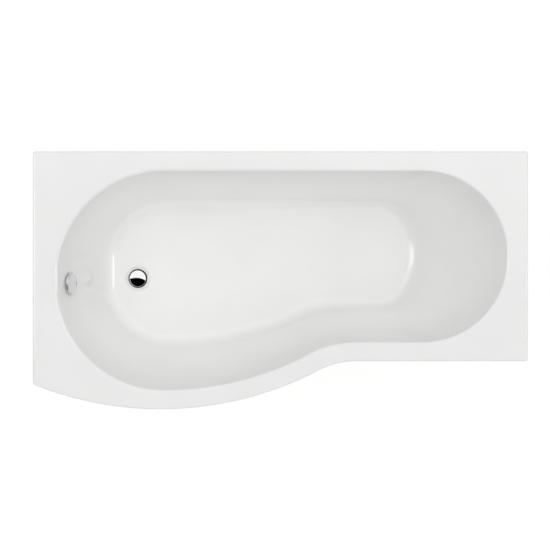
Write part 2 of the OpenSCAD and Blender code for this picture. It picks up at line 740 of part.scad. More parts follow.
module overflow_cover() {
    top = cover_gap + cover_depth;
    color("silver")
    at_overflow() {
        rotate_extrude($fn = curve_steps)
            polygon([
                [0, top - cover_wall], [cover_r - 8, top - cover_wall], [cover_r - cover_wall, top - 6],
                [cover_r - cover_wall, cover_gap], [cover_r, cover_gap], [cover_r, top - 5],
                [cover_r - 1.5, top - 2.2], [cover_r - 5, top - 0.6], [cover_r - 12, top], [0, top],
            ]);
        difference() {
            translate([0, 0, 0.5]) cylinder(r = cover_boss_r, h = top - cover_wall - 0.5, $fn = curve_steps);
            translate([0, 0, -1]) cylinder(r = over_stud_r + thread_gap, h = top - cover_wall - 1, $fn = curve_steps);
        }
    }
}
module overflow_stud() {
    color("darkgoldenrod")
    at_overflow() translate([0, 0, cover_gap + cover_depth - cover_wall - 2.3 - over_stud_length])
        cylinder(r = over_stud_r, h = over_stud_length, $fn = 32);
}
module overflow_gasket() {
    color("black")
    at_overflow() translate([0, 0, elbow_face]) difference() {
        cylinder(r = over_gasket_r, h = over_gasket, $fn = curve_steps);
        translate([0, 0, -1]) cylinder(d = overflow_hole, h = over_gasket + 2, $fn = curve_steps);
    }
}
module overflow_elbow() {
    color("dimgray")
    at_overflow() difference() {
        union() {
            translate([0, 0, elbow_face - elbow_flange])
                cylinder(r = over_gasket_r, h = elbow_flange, $fn = curve_steps);
            translate([0, 0, elbow_face - elbow_depth]) cylinder(r = elbow_r, h = elbow_depth, $fn = curve_steps);
            translate([0, 0, elbow_mid]) rotate([0, 90, 0])
                cylinder(r = pipe_r, h = elbow_r + pipe_length, $fn = curve_steps);
        }
        difference() {
            translate([0, 0, elbow_face - elbow_depth + elbow_wall])
                cylinder(r = elbow_r - elbow_wall, h = elbow_depth, $fn = curve_steps);
            translate([0, 0, elbow_face - elbow_depth])
                cylinder(r = elbow_hub_r, h = elbow_depth - 6, $fn = curve_steps);
        }
        translate([0, 0, elbow_mid]) rotate([0, 90, 0])
            translate([0, 0, elbow_hub_r + 1]) cylinder(r = pipe_bore_r, h = elbow_r + pipe_length, $fn = curve_steps);
        translate([0, 0, elbow_face - elbow_depth + elbow_wall])
            cylinder(r = over_stud_r + thread_gap, h = elbow_depth, $fn = 32);
    }
}

// The hose runs straight out of the elbow, sweeps under the floor and runs straight into the waste
hose_r = hose_diameter / 2;
hose_bore_r = 9.5;
rib_height = 2;
cuff_length = hose_diameter;
nut_r = 18;
nut_length = 20;
nut_lip = 3;
hose_start = overflow_at + into_basin * elbow_mid + down_wall * (elbow_r + pipe_length);
hose_end = [waste_xy[0] - body_r - pipe_length, waste_xy[1], inlet_z];
along_x = [1, 0, 0];
hose_swing = 150;
hose_from = hose_start + down_wall * cuff_length;
hose_to = hose_end - along_x * cuff_length;
function curve_at(t) =
    hose_from * pow(1 - t, 3) + 3 * (hose_from + down_wall * hose_swing) * pow(1 - t, 2) * t
    + 3 * (hose_to - along_x * hose_swing / 2) * (1 - t) * t * t + hose_to * pow(t, 3);
curve_length = [for (k = [0:39]) norm(curve_at((k + 1) / 40) - curve_at(k / 40))] * [for (k = [0:39]) 1];
ribs = floor(curve_length / rib_pitch);
hose_line = concat([hose_start, hose_start + down_wall * cuff_length / 2],
                   [for (k = [0:2 * ribs]) curve_at(k / (2 * ribs))],
                   [hose_end - along_x * cuff_length / 2, hose_end]);
hose_radii = concat([hose_r - rib_height, hose_r - rib_height],
                    [for (k = [0:2 * ribs]) k % 2 == 1 ? hose_r : hose_r - rib_height],
                    [hose_r - rib_height, hose_r - rib_height]);
bore_every = 6;
hose_sides = 8;
function unit(v) = v / norm(v);
function hose_ring(line, k, r) =
    let (ahead = unit(line[min(k + 1, len(line) - 1)] - line[max(k - 1, 0)]),
         side = unit(cross(ahead, [0, 1, 0])),
         up = cross(side, ahead))
    [for (j = [0:hose_sides - 1]) line[k] + r * (cos(360 * j / hose_sides) * side + sin(360 * j / hose_sides) * up)];
module overflow_hose() {
    n = hose_sides;
    last = len(hose_line) - 1;
    inside = concat([for (k = [0:bore_every:last - 1]) k], [last]);
    rings = concat([for (k = [0:last]) hose_ring(hose_line, k, hose_radii[k])],
                   [for (k = flipped(inside)) hose_ring(hose_line, k, hose_bore_r)]);
    count = len(rings);
    faces = concat(strip_faces(count, n),
                   [for (i = [0:n - 1])
                       let (a = (count - 1) * n + i, b = (count - 1) * n + (i + 1) % n, c = i, d = (i + 1) % n)
                       each [[a, b, d], [a, d, c]]]);
    color("whitesmoke") polyhedron(points = flat_list(rings), faces = faces, convexity = 10);
}
module hose_nut() {
    cuff_r = hose_r - rib_height;
    difference() {
        union() {
            rotate_extrude($fn = curve_steps)
                polygon([
                    [0, 0], [nut_r - 2, 0], [nut_r - 1.5, 0.5], [nut_r - 1.5, nut_length - 4.5],
                    [nut_r - 2, nut_length - 1.5], [nut_r - 3.5, nut_length], [0, nut_length],
                ]);
            for (turn = [0:45:315]) rotate(turn) translate([nut_r - 3, -2, 0]) cube([3, 4, nut_length - 5]);
        }
        translate([0, 0, -1]) cylinder(r = pipe_r + thread_gap, h = nut_length - nut_lip + 1, $fn = curve_steps);
        translate([0, 0, -1]) cylinder(r = cuff_r + thread_gap, h = nut_length + 2, $fn = curve_steps);
    }
}
module hose_nut_top() {
    color("gray") translate(hose_start - down_wall * (nut_length - nut_lip - 2))
        rotate([0, 180 - overflow_lean, 0]) hose_nut();
}
module hose_nut_bottom() {
    color("gray") translate(hose_end + along_x * (nut_length - nut_lip - 2)) rotate([0, -90, 0]) hose_nut();
}

// Sections of folded sheet. Outside, each fold has the radius fold_r
fold_r = 3;
fold_steps = 4;
function arc_points(c, r, from, to) =
    [for (k = [0:fold_steps]) let (a = from + (to - from) * k / fold_steps) c + r * [cos(a), sin(a)]];
// A channel with its web at the top and its legs down
function channel_section(w, h) = concat(
    [[-w / 2, -h]], arc_points([fold_r - w / 2, -fold_r], fold_r, 180, 90),
    arc_points([w / 2 - fold_r, -fold_r], fold_r, 90, 0), [[w / 2, -h], [w / 2 - steel, -h]],
    arc_points([w / 2 - fold_r, -fold_r], fold_r - steel, 0, 90),
    arc_points([fold_r - w / 2, -fold_r], fold_r - steel, 90, 180), [[steel - w / 2, -h]]);
// An angle that reaches -X along its top and down at X = 0
function angle_section(reach, drop) = concat(
    [[-reach, 0]], arc_points([-fold_r, -fold_r], fold_r, 90, 0), [[0, -drop], [-steel, -drop]],
    arc_points([-fold_r, -fold_r], fold_r - steel, 0, 90), [[-reach, -steel]]);

/*
Legs: two steel channels and a plate, screwed up into the board, with five levelling feet.
*/
channel_z = board_z - channel_height;
channel_end = 26;
stud_r = stud_diameter / 2;
stud_z = pad_height - 8;
centre_lift = 10;
centre_stud_length = board_z - steel - centre_lift - 1 - stud_z;
nut_height = stud_diameter * 0.8;
nut_across = stud_diameter * 1.7;
foot_places = [
    [channel_x[0], wall_foot_y], [channel_x[0], front_foot_y[0]],
    [channel_x[1], wall_foot_y], [channel_x[1], front_foot_y[1]],
    plate_xy,
];

module channel(c) {
    low = front_foot_y[c] - channel_end;
    high = wall_foot_y + channel_end;
    color("lightsteelblue")
    difference() {
        translate([channel_x[c], high, board_z]) rotate([90, 0, 0])
            linear_extrude(high - low) polygon(channel_section(channel_width, channel_height));
        for (y = [front_foot_y[c], wall_foot_y])
            translate([channel_x[c], y, channel_z]) cylinder(r = stud_r + 0.5, h = 2 * channel_height, $fn = 32);
        for (y = channel_screw_y[c], side = [-1, 1])
            translate([channel_x[c] + side * channel_screw_x, y, channel_z])
                cylinder(r = screw_r + 0.4, h = 2 * channel_height, $fn = 24);
    }
}
module channel_waste_end() {
    channel(0);
}
module channel_head_end() {
    channel(1);
}
plate_z = board_z - channel_height;
module centre_plate() {
    color("lightsteelblue")
    translate([plate_xy[0], plate_xy[1], 0])
    difference() {
        union() {
            difference() {
                translate([0, 0, board_z - steel]) linear_extrude(steel) polygon([
                    for (turn = [0:3], p = [[plate_half, -plate_half + 4], [plate_half, plate_half - 4]])
                        [p[0] * cos(90 * turn) - p[1] * sin(90 * turn), p[0] * sin(90 * turn) + p[1] * cos(90 * turn)],
                ]);
                translate([-channel_width / 2, -channel_width / 2 + steel, board_z - steel - 1])
                    cube([channel_width, channel_width - 2 * steel, steel + 2]);
            }
            translate([-channel_width / 2, 0, plate_z]) rotate([90, 0, 90]) linear_extrude(channel_width)
                polygon([for (p = channel_section(channel_width, channel_height)) [p[0], -p[1]]]);
        }
        translate([0, 0, plate_z - 1]) cylinder(r = stud_r + 0.5, h = channel_height, $fn = 32);
        for (sx = [-1, 1], sy = [-1, 1])
            translate([sx * plate_screw, sy * plate_screw, plate_z])
                cylinder(r = screw_r + 0.4, h = 2 * channel_height, $fn = 24);
    }
}
// A pan-headed wood screw driven upwards, with its head's seat at the origin
module wood_screw(bite) {
    difference() {
        translate([0, 0, -screw_head]) cylinder(r1 = screw_head_r - 1, r2 = screw_head_r, h = screw_head, $fn = 24);
        for (turn = [0, 90]) rotate(turn)
            translate([-2.3, -0.5, -screw_head - 1]) cube([4.6, 1, 2.2]);
    }
    cylinder(r = screw_r, h = bite - screw_point, $fn = 24);
    translate([0, 0, bite - screw_point]) cylinder(r1 = screw_r, r2 = 0.4, h = screw_point, $fn = 24);
}
module channel_screws() {
    color("gold")
    for (p = board_screws)
        translate([p[0], p[1], board_z - steel]) wood_screw(steel + screw_bite - 1);
}

module stud(k) {
    long = k < 4 ? board_z + stud_reach - stud_z : centre_stud_length;
    color("silver")
    translate([foot_places[k][0], foot_places[k][1], stud_z]) {
        cylinder(r = stud_r, h = long - 1, $fn = 32);
        translate([0, 0, long - 1]) cylinder(r1 = stud_r, r2 = stud_r - 1, h = 1, $fn = 32);
        translate([0, 0, pad_height - stud_z]) cylinder(d = nut_across, h = 5, $fn = 6);
    }
}
module pad(k) {
    r = pad_diameter / 2;
    color("black")
    translate([foot_places[k][0], foot_places[k][1], 0])
        rotate_extrude($fn = curve_steps)
            polygon([
                [0, 0], [r - 1, 0], [r, 1], [r, 4], [r - 2, 6], [r - 4, 6.5], [r - 5, 7], [r - 7, 7.4],
                [r - 8, 7.2], [r - 9, 7.9], [stud_r + 7, 9], [stud_r + 5.8, 11], [stud_r + 5, pad_height - 0.6],
                [stud_r + 4.5, pad_height],
                [stud_r + thread_gap, pad_height], [stud_r + thread_gap, stud_z], [0, stud_z],
            ]);
}
module hex_nut(z) {
    corner = nut_across / sqrt(3);
    flat = nut_across / 2;
    cut = (corner - flat) * tan(30) + 0.3;
    translate([0, 0, z]) difference() {
        intersection() {
            cylinder(r = corner, h = nut_height, $fn = 6);
            rotate_extrude($fn = curve_steps)
                polygon([
                    [0, 0], [flat - 0.5, 0], [corner, cut], [corner, nut_height - cut], [flat - 0.5, nut_height],
                    [0, nut_height],
                ]);
        }
        translate([0, 0, -1]) cylinder(r = stud_r + fit_gap, h = nut_height + 2, $fn = 32);
    }
}
// The channels' web is at their top, and the plate's cup has its web at the bottom
module lock_nuts_upper() {
    color("silver")
    for (k = [0:4])
        translate([foot_places[k][0], foot_places[k][1], 0])
            hex_nut(k < 4 ? board_z : plate_z + steel);
}
module lock_nuts_lower() {
    color("silver")
    for (k = [0:4])
        translate([foot_places[k][0], foot_places[k][1], 0])
            hex_nut((k < 4 ? board_z - steel : plate_z) - nut_height);
}

/*
Wall brackets: steel angles under the back rail, flush with the rim's wall edge.
*/
module wall_bracket(k) {
    depth = rail_width + rail_edge;
    color("lightsteelblue")
    translate([bracket_x[k] - bracket_width / 2, back_y - depth, rail_z - steel])
    difference() {
        translate([0, depth, steel]) rotate([90, 0, 90]) linear_extrude(bracket_width)
            polygon(angle_section(depth, bracket_drop));
        translate([bracket_width / 2, depth - steel - 1, steel - bracket_drop + 14])
            rotate([-90, 0, 0]) cylinder(d = bracket_hole, h = steel + 2, $fn = 32);
        for (side = [-1, 1])
            translate([bracket_width / 2 + side * bracket_screw_x, depth - rail_edge - rail_width / 2, -1])
                cylinder(r = screw_r + 0.4, h = steel + 2, $fn = 24);
    }
}
module bracket_screws() {
    color("gold")
    for (x = bracket_x, side = [-1, 1])
        translate([x + side * bracket_screw_x, bracket_screw_y, rail_z - steel]) wood_screw(steel + screw_bite - 1);
}

acrylic_tub();
glassfibre_backing();
base_board();
rail_back();
rail_front();
rail_bow();
rail_waste_end();
rail_head_end();
waste_flange();
flange_seal();
under_gasket();
waste_body();
click_barrel();
click_spring();
plug_spindle();
plug_cap();
plug_seal();
overflow_cover();
overflow_stud();
overflow_gasket();
overflow_elbow();
hose_nut_top();
hose_nut_bottom();
overflow_hose();
channel_waste_end();
channel_head_end();
centre_plate();
channel_screws();
stud(0);  // stud_1
stud(1);  // stud_2
stud(2);  // stud_3
stud(3);  // stud_4
stud(4);  // stud_5
pad(0);  // pad_1
pad(1);  // pad_2
pad(2);  // pad_3
pad(3);  // pad_4
pad(4);  // pad_5
lock_nuts_upper();
lock_nuts_lower();
wall_bracket(0);  // wall_bracket_1
wall_bracket(1);  // wall_bracket_2
wall_bracket(2);  // wall_bracket_3
bracket_screws();
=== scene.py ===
import logging
import math
from dataclasses import dataclass, replace
from enum import Enum
from typing import Optional, Sequence

import bmesh
import bpy
import numpy as np
from mathutils import Matrix


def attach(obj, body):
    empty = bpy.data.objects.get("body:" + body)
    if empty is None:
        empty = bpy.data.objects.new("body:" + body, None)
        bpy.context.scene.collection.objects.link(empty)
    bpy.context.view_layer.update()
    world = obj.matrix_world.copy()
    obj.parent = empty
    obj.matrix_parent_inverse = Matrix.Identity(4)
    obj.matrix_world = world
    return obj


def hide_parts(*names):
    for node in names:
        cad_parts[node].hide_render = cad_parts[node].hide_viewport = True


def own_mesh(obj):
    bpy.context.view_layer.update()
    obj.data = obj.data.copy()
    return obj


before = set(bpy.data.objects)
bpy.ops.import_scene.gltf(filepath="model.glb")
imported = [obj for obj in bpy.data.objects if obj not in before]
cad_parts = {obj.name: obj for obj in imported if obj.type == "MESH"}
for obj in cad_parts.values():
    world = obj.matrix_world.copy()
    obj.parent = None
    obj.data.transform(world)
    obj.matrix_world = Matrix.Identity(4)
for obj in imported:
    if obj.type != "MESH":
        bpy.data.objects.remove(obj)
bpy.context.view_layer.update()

Array = np.ndarray
Piece = bpy.types.Object
Socket = bpy.types.NodeSocket
MM = 0.001
TURN = 2 * math.pi
CREASE = 40
SHARP = 50
HOLE_SIDES = 48
SOFT_HOLE_SIDES = 24
WELD = 2e-6
SLIVER = 1e-7
log = logging.getLogger("shower_bath")


# Shapes. Every size is in millimetres until a piece is made, which turns it into metres.

@dataclass(frozen=True)
class Placement:
    """A turned and shifted frame: p becomes origin + p.x * x + p.y * y + p.z * z."""

    origin: Sequence = (0, 0, 0)
    x: Sequence = (1, 0, 0)
    y: Sequence = (0, 1, 0)
    z: Sequence = (0, 0, 1)

    def put(self, points: Array) -> Array:
        """Moves points, whose last axis is x, y, z, into the part's frame."""
        return np.asarray(self.origin, float) + points @ np.array([self.x, self.y, self.z], float)

    def shifted(self, z: float) -> "Placement":
        """The same frame with its origin moved along its own Z axis."""
        return replace(self, origin=tuple(self.put(np.array([0, 0, z], float))))


@dataclass
class Patch:
    """A grid of points whose columns close round. Its rows may too, or its ends may be filled."""

    points: Array
    wrap_rows: bool = False
    fill_ends: bool = False

    def faces(self, start: int) -> list:
        """Quads of the grid, and one polygon for each filled end.

        Args:
            start: number of the grid's first point in the whole mesh.
        Returns:
            The faces.
        """
        rows, columns = self.points.shape[:2]
        number = start + np.arange(rows * columns).reshape(rows, columns)
        ends = [number[0, ::-1].tolist(), number[-1].tolist()] if self.fill_ends else []
        if self.wrap_rows:
            number = np.vstack([number, number[:1]])
        number = np.hstack([number, number[:, :1]])
        quads = np.stack([number[:-1, :-1], number[:-1, 1:], number[1:, 1:], number[1:, :-1]], -1)
        return quads.reshape(-1, 4).tolist() + ends


def box(u0: float, v0: float, u1: float, v1: float) -> list:
    """Corners of a rectangle, anticlockwise from (u0, v0)."""
    return [(u0, v0), (u1, v0), (u1, v1), (u0, v1)]


def circle(steps: int) -> Array:
    """Angles t_j = 2 pi j / steps."""
    return np.arange(steps) * TURN / steps


def level(ring: Array, z: object) -> Array:
    """A ring of plan points at height z, or at one height each."""
    return np.column_stack([ring, np.broadcast_to(z, len(ring))])


def rounded(corners: Sequence, radius: float = 0, steps: int = 5, closed: bool = True) -> Array:
    """Outline whose corners are parabolas: (1-t)^2 p + 2 t (1-t) c + t^2 q about corner c.

    Args:
        corners: (u, v) or (u, v, radius) of each. The radius is how far its round reaches.
        radius: radius of the corners that have none of their own.
        steps: points along each round.
        closed: whether the last corner joins the first.
    Returns:
        (n, 2) points of the outline.
    """
    table = np.array([(*corner, radius)[:3] for corner in corners], float)
    c, reach, n = table[:, :2], table[:, 2], len(table)
    if not closed:
        reach[[0, -1]] = 0
    t = np.linspace(0, 1, steps + 1)[:, None]
    out = []
    for k in range(n):
        if reach[k] <= 0:
            out.append(c[k:k + 1])
            continue
        p, q = (c[k] + way * min(reach[k] / np.linalg.norm(way), 0.5)
                for way in (c[k - 1] - c[k], c[(k + 1) % n] - c[k]))
        out.append((1 - t) ** 2 * p + 2 * t * (1 - t) * c[k] + t ** 2 * q)
    return np.vstack(out)


def turned(r: Array, z: Array, steps: int, at: Placement, closed: bool = True) -> Patch:
    """Surface of revolution: point (i, j) is (r_i cos t_j, r_i sin t_j, z_i).

    Args:
        r: radii down the profile, either one per row or one per row and column.
        z: heights, shaped in the same way.
        steps: columns round the axis.
        at: frame whose Z axis is the axis.
        closed: whether the profile's last row joins its first.
    Returns:
        The patch.
    """
    r, z = (np.broadcast_to(np.reshape(v, (len(v), -1)), (len(v), steps)) for v in (r, z))
    t = circle(steps)
    return Patch(at.put(np.stack([r * np.cos(t), r * np.sin(t), z], -1)), wrap_rows=closed)


def lathe(corners: Sequence, steps: int, at: Placement, radius: float = 0,
          closed: bool = True) -> Patch:
    """Surface of revolution whose profile is the rounded outline of corners (r, z)."""
    return turned(*rounded(corners, radius, closed=closed).T, steps, at, closed)


def lobed(rows: Sequence[tuple], wave: Array) -> tuple:
    """Radii and heights of rows (r, z) or (r, z, share): r + share * wave, share 0 if none."""
    r, z, share = np.array([(*row, 0)[:3] for row in rows], float).T[:, :, None]
    return r + share * wave, z + 0 * wave


def threaded(radius: float, depth: float, pitch: float, z0: float, z1: float, steps: int = 24,
             per_turn: int = 6) -> tuple:
    """Radii and heights of a screw thread: r = radius - depth * tri(z / pitch - t / 2 pi).

    tri rises from 0 at a crest to 1 at a root and falls again. Over one pitch at both ends the
    thread fades into a plain rod, 0.9 of its depth below the crests.

    Args:
        radius, depth, pitch: the thread's radius at its crests, its depth and its pitch.
        z0, z1: heights between which it runs.
        steps, per_turn: columns round it, and rows for each turn.
    Returns:
        Radii and heights, each one per row and column.
    """
    z = np.linspace(z0, z1, max(3, int((z1 - z0) / pitch * per_turn)))[:, None]
    saw = (z / pitch - np.arange(steps)[None] / steps) % 1
    tri = 1 - np.abs(2 * saw - 1)
    fade = np.clip(np.minimum(z - z0, z1 - z) / pitch, 0, 1)
    r = radius - depth * (tri * fade + (1 - fade) * 0.9)
    return r, np.broadcast_to(z, r.shape)


def with_thread(first: Sequence, thread: tuple, last: Sequence, at: Placement,
                closed: bool = False) -> Patch:
    """Surface of revolution with a thread between plain rows.

    Args:
        first, last: plain rows (r, z).
        thread: radii and heights of the thread's rows.
        at: frame whose Z axis is the axis.
        closed: whether the last row joins the first.
    Returns:
        The patch.
    """
    steps = thread[0].shape[1]
    before, after = (np.repeat(np.array(rows, float).T[:, :, None], steps, 2)
                     for rows in (first, last))
    r, z = (np.vstack([before[k], thread[k], after[k]]) for k in (0, 1))
    return turned(r, z, steps, at, closed)


def hose_tail(at: Placement, start: float, thread: float, end: float, bore: float = 8.8,
              radius: float = 11.5) -> Patch:
    """Pipe with a thread for a hose's nut, along the placement's Z axis from start to end."""
    return with_thread([(bore, start), (radius, start), (radius, thread - 0.5)],
                       threaded(radius, 0.6, 2.2, thread, end - 3, 48, 8),
                       [(11.2, end - 1.4), (10.4, end), (bore, end)], at, closed=True)


def along(path: Array, up: Sequence) -> tuple:
    """Frames along a path: side = tangent x up and rise = side x tangent.

    Args:
        path: (n, 3) points.
        up: direction that rise leans to.
    Returns:
        Tangents from central differences, sides and rises.
    """
    ahead = np.gradient(path, axis=0)
    ahead /= np.linalg.norm(ahead, axis=1, keepdims=True)
    side = np.cross(ahead, np.asarray(up, float))
    side /= np.linalg.norm(side, axis=1, keepdims=True)
    return ahead, side, np.cross(side, ahead)


def carried(profile: Array, path: Array, up: Sequence = (0, 0, 1), chamfer: float = 0) -> Patch:
    """Profile carried along a path: point (i, j) is path_i + u_j side_i + v_j rise_i.

    Args:
        profile: (m, 2) closed section, u to the side and v upwards.
        path: (n, 3) centre line.
        up: direction that v leans to.
        chamfer: size of the bevel at both ends.
    Returns:
        The patch, with both ends filled.
    """
    ahead, side, rise = along(path, up)
    middle = profile.mean(0)
    scale = np.ones(len(path))
    if chamfer:
        path = np.vstack([path[:1], path[:1] + ahead[:1] * chamfer, path[1:-1],
                          path[-1:] - ahead[-1:] * chamfer, path[-1:]])
        side, rise = (np.vstack([v[:1], v, v[-1:]]) for v in (side, rise))
        tip = 1 - chamfer / np.abs(profile - middle).max()
        scale = np.concatenate([[tip], scale, [tip]])
    flat = middle + (profile - middle)[None] * scale[:, None, None]
    points = path[:, None] + flat[..., :1] * side[:, None] + flat[..., 1:] * rise[:, None]
    return Patch(points, fill_ends=True)


def slab(outline: Array, z0: float, z1: float, bevel: float) -> Patch:
    """Plate with an outline seen from above and both its edges bevelled.

    Corner k of the bevel moves inwards along the sum of its two sides' normals.

    Args:
        outline: (n, 2) points of the outline.
        z0, z1: heights of its faces.
        bevel: size of the bevels.
    Returns:
        The patch, with both faces filled.
    """
    ahead = np.roll(outline, -1, 0)
    side = ahead - outline
    area = np.sum(outline[:, 0] * ahead[:, 1] - ahead[:, 0] * outline[:, 1])
    normal = np.stack([-side[:, 1], side[:, 0]], 1) * np.sign(area)
    normal /= np.linalg.norm(side, axis=1, keepdims=True)
    inward = normal + np.roll(normal, 1, 0)
    inward /= np.maximum(np.sum(inward * normal, 1, keepdims=True), 0.3)
    small = outline + inward * bevel
    rows = ((small, z0), (outline, z0 + bevel), (outline, z1 - bevel), (small, z1))
    return Patch(np.stack([level(ring, z) for ring, z in rows]), fill_ends=True)


def hex_nut(flats: float, bore: float, height: float, at: Placement, steps: int = 48) -> Patch:
    """Hexagon nut with corners on X, cut by 30 degree cones, and a countersunk bore.

    r = min(hexagon, cone), where the hexagon is flats / 2 / cos((t mod 60) - 30).

    Args:
        flats, bore, height: width across its flats, radius of its bore, and height.
        at: frame of its lower face.
        steps: columns round it.
    Returns:
        The patch.
    """
    edge = flats / 2 / np.cos(np.radians(np.arange(steps) * 360 / steps % 60 - 30))
    cone, slope, sink = flats / 2 * 0.97, math.tan(math.radians(30)), 0.8
    drop = (edge.max() - cone) * slope
    low = np.array([sink, 0, 0, drop / 2, drop])
    z = np.append(low, height - low[::-1])
    r = np.minimum(edge, (cone + np.minimum(z, height - z) / slope)[:, None])
    r[[0, -1]], r[[1, -2]] = bore, bore + sink
    return turned(r, z, steps, at)


def wood_screws(places: Sequence[tuple], seat: float, bite: float) -> list:
    """Pan-headed screws that drive upwards: a domed head and a tapered thread.

    The head's face is a height map on rings: a dome less a cross of depth 1.2, where x or y is
    within 0.5 of the middle.

    Args:
        places: plan points of the screws.
        seat: height of the heads' seats.
        bite: length under the head.
    Returns:
        Two patches for each screw.
    """
    r = np.array([0, 0.25, 0.5, 0.75, 1.0, 1.4, 1.8, 2.2, 2.6, 3.2, 3.8, 4.15, 4.2,
                  4.2, 4.0, 2.0, 0])
    t = circle(32)
    x, y = np.abs(r[:, None] * np.cos(t)), np.abs(r[:, None] * np.sin(t))
    dome = -2.4 + 1.5 * (r / 4.2) ** 4
    dome[-4:] = [-0.4, 0, 0, 0]
    cross = (np.minimum(x, y) < 0.5) & (np.maximum(x, y) < 2.3)
    cross[-4:] = False
    thread = threaded(2.0, 0.5, 1.75, 0, bite - 2.5, 16, 5)
    out = []
    for place in places:
        at = Placement((*place, seat))
        out += [turned(r, dome[:, None] + 1.2 * cross, len(t), at, closed=False),
                with_thread([(0, -0.2)], thread, [(1.4, bite - 2.2), (0, bite)], at)]
    return out


def bores(places: Sequence[tuple], z: float, radius: float, half: float) -> list:
    """Upright holes at plan points, each with its middle at z, for drill."""
    return [(Placement((*place, z)), radius, half) for place in places]


def stand(name: str, data: bpy.types.ID) -> Piece:
    """Makes an object and links it to the scene.

    Args:
        name: its name.
        data: its mesh, light or camera.
    Returns:
        The object.
    """
    made = bpy.data.objects.new(name, data)
    bpy.context.scene.collection.objects.link(made)
    return made


def make_piece(name: str, patches: Sequence[Patch]) -> Piece:
    """Makes one mesh object from patches, in metres, closed and facing outwards.

    Args:
        name: the piece's name.
        patches: its surfaces, in millimetres.
    Returns:
        The object, at the origin.
    """
    faces, count = [], 0
    for patch in patches:
        faces += patch.faces(count)
        count += patch.points[..., 0].size
    mesh = bpy.data.meshes.new(name)
    points = np.vstack([patch.points.reshape(-1, 3) for patch in patches])
    mesh.from_pydata((points * MM).tolist(), [], faces)
    work = bmesh.new()
    work.from_mesh(mesh)
    bmesh.ops.remove_doubles(work, verts=work.verts, dist=WELD)
    bmesh.ops.dissolve_degenerate(work, edges=work.edges, dist=SLIVER)
    bmesh.ops.recalc_face_normals(work, faces=work.faces)
    work.to_mesh(mesh)
    work.free()
    return stand(name, mesh)


def soften(piece: Piece, width: float) -> None:
    """Rounds the edges of a piece that are sharper than SHARP.

    Args:
        piece: the piece.
        width: width of the round, in millimetres.
    """
    work = bmesh.new()
    work.from_mesh(piece.data)
    edges = [e for e in work.edges if e.is_manifold and e.calc_face_angle(0) > math.radians(SHARP)]
    bmesh.ops.bevel(work, geom=edges, offset=width * MM, offset_type="OFFSET", segments=2,
                    profile=0.5, affect="EDGES", clamp_overlap=True)
    work.to_mesh(piece.data)
    work.free()


def drill(piece: Piece, holes: Sequence[tuple], sides: int) -> None:
    """Cuts round holes through a piece.

    Args:
        piece: the piece to cut.
        holes: (placement, radius, half length) of each hole, along the placement's Z axis.
        sides: sides of each hole.
    """
    cutter = make_piece("cutter", [turned([0, r, r, 0], [-h, -h, h, h], sides, at, closed=False)
                                   for at, r, h in holes])
    modifier = piece.modifiers.new("holes", "BOOLEAN")
    modifier.operation, modifier.solver, modifier.object = "DIFFERENCE", "EXACT", cutter
    evaluated = piece.evaluated_get(bpy.context.evaluated_depsgraph_get())
    cut = bpy.data.meshes.new_from_object(evaluated)
    piece.modifiers.clear()
    whole, piece.data = piece.data, cut
    cut.name = whole.name
    used = cutter.data
    bpy.data.objects.remove(cutter)
    for mesh in (whole, used):
        bpy.data.meshes.remove(mesh)


# Finishes

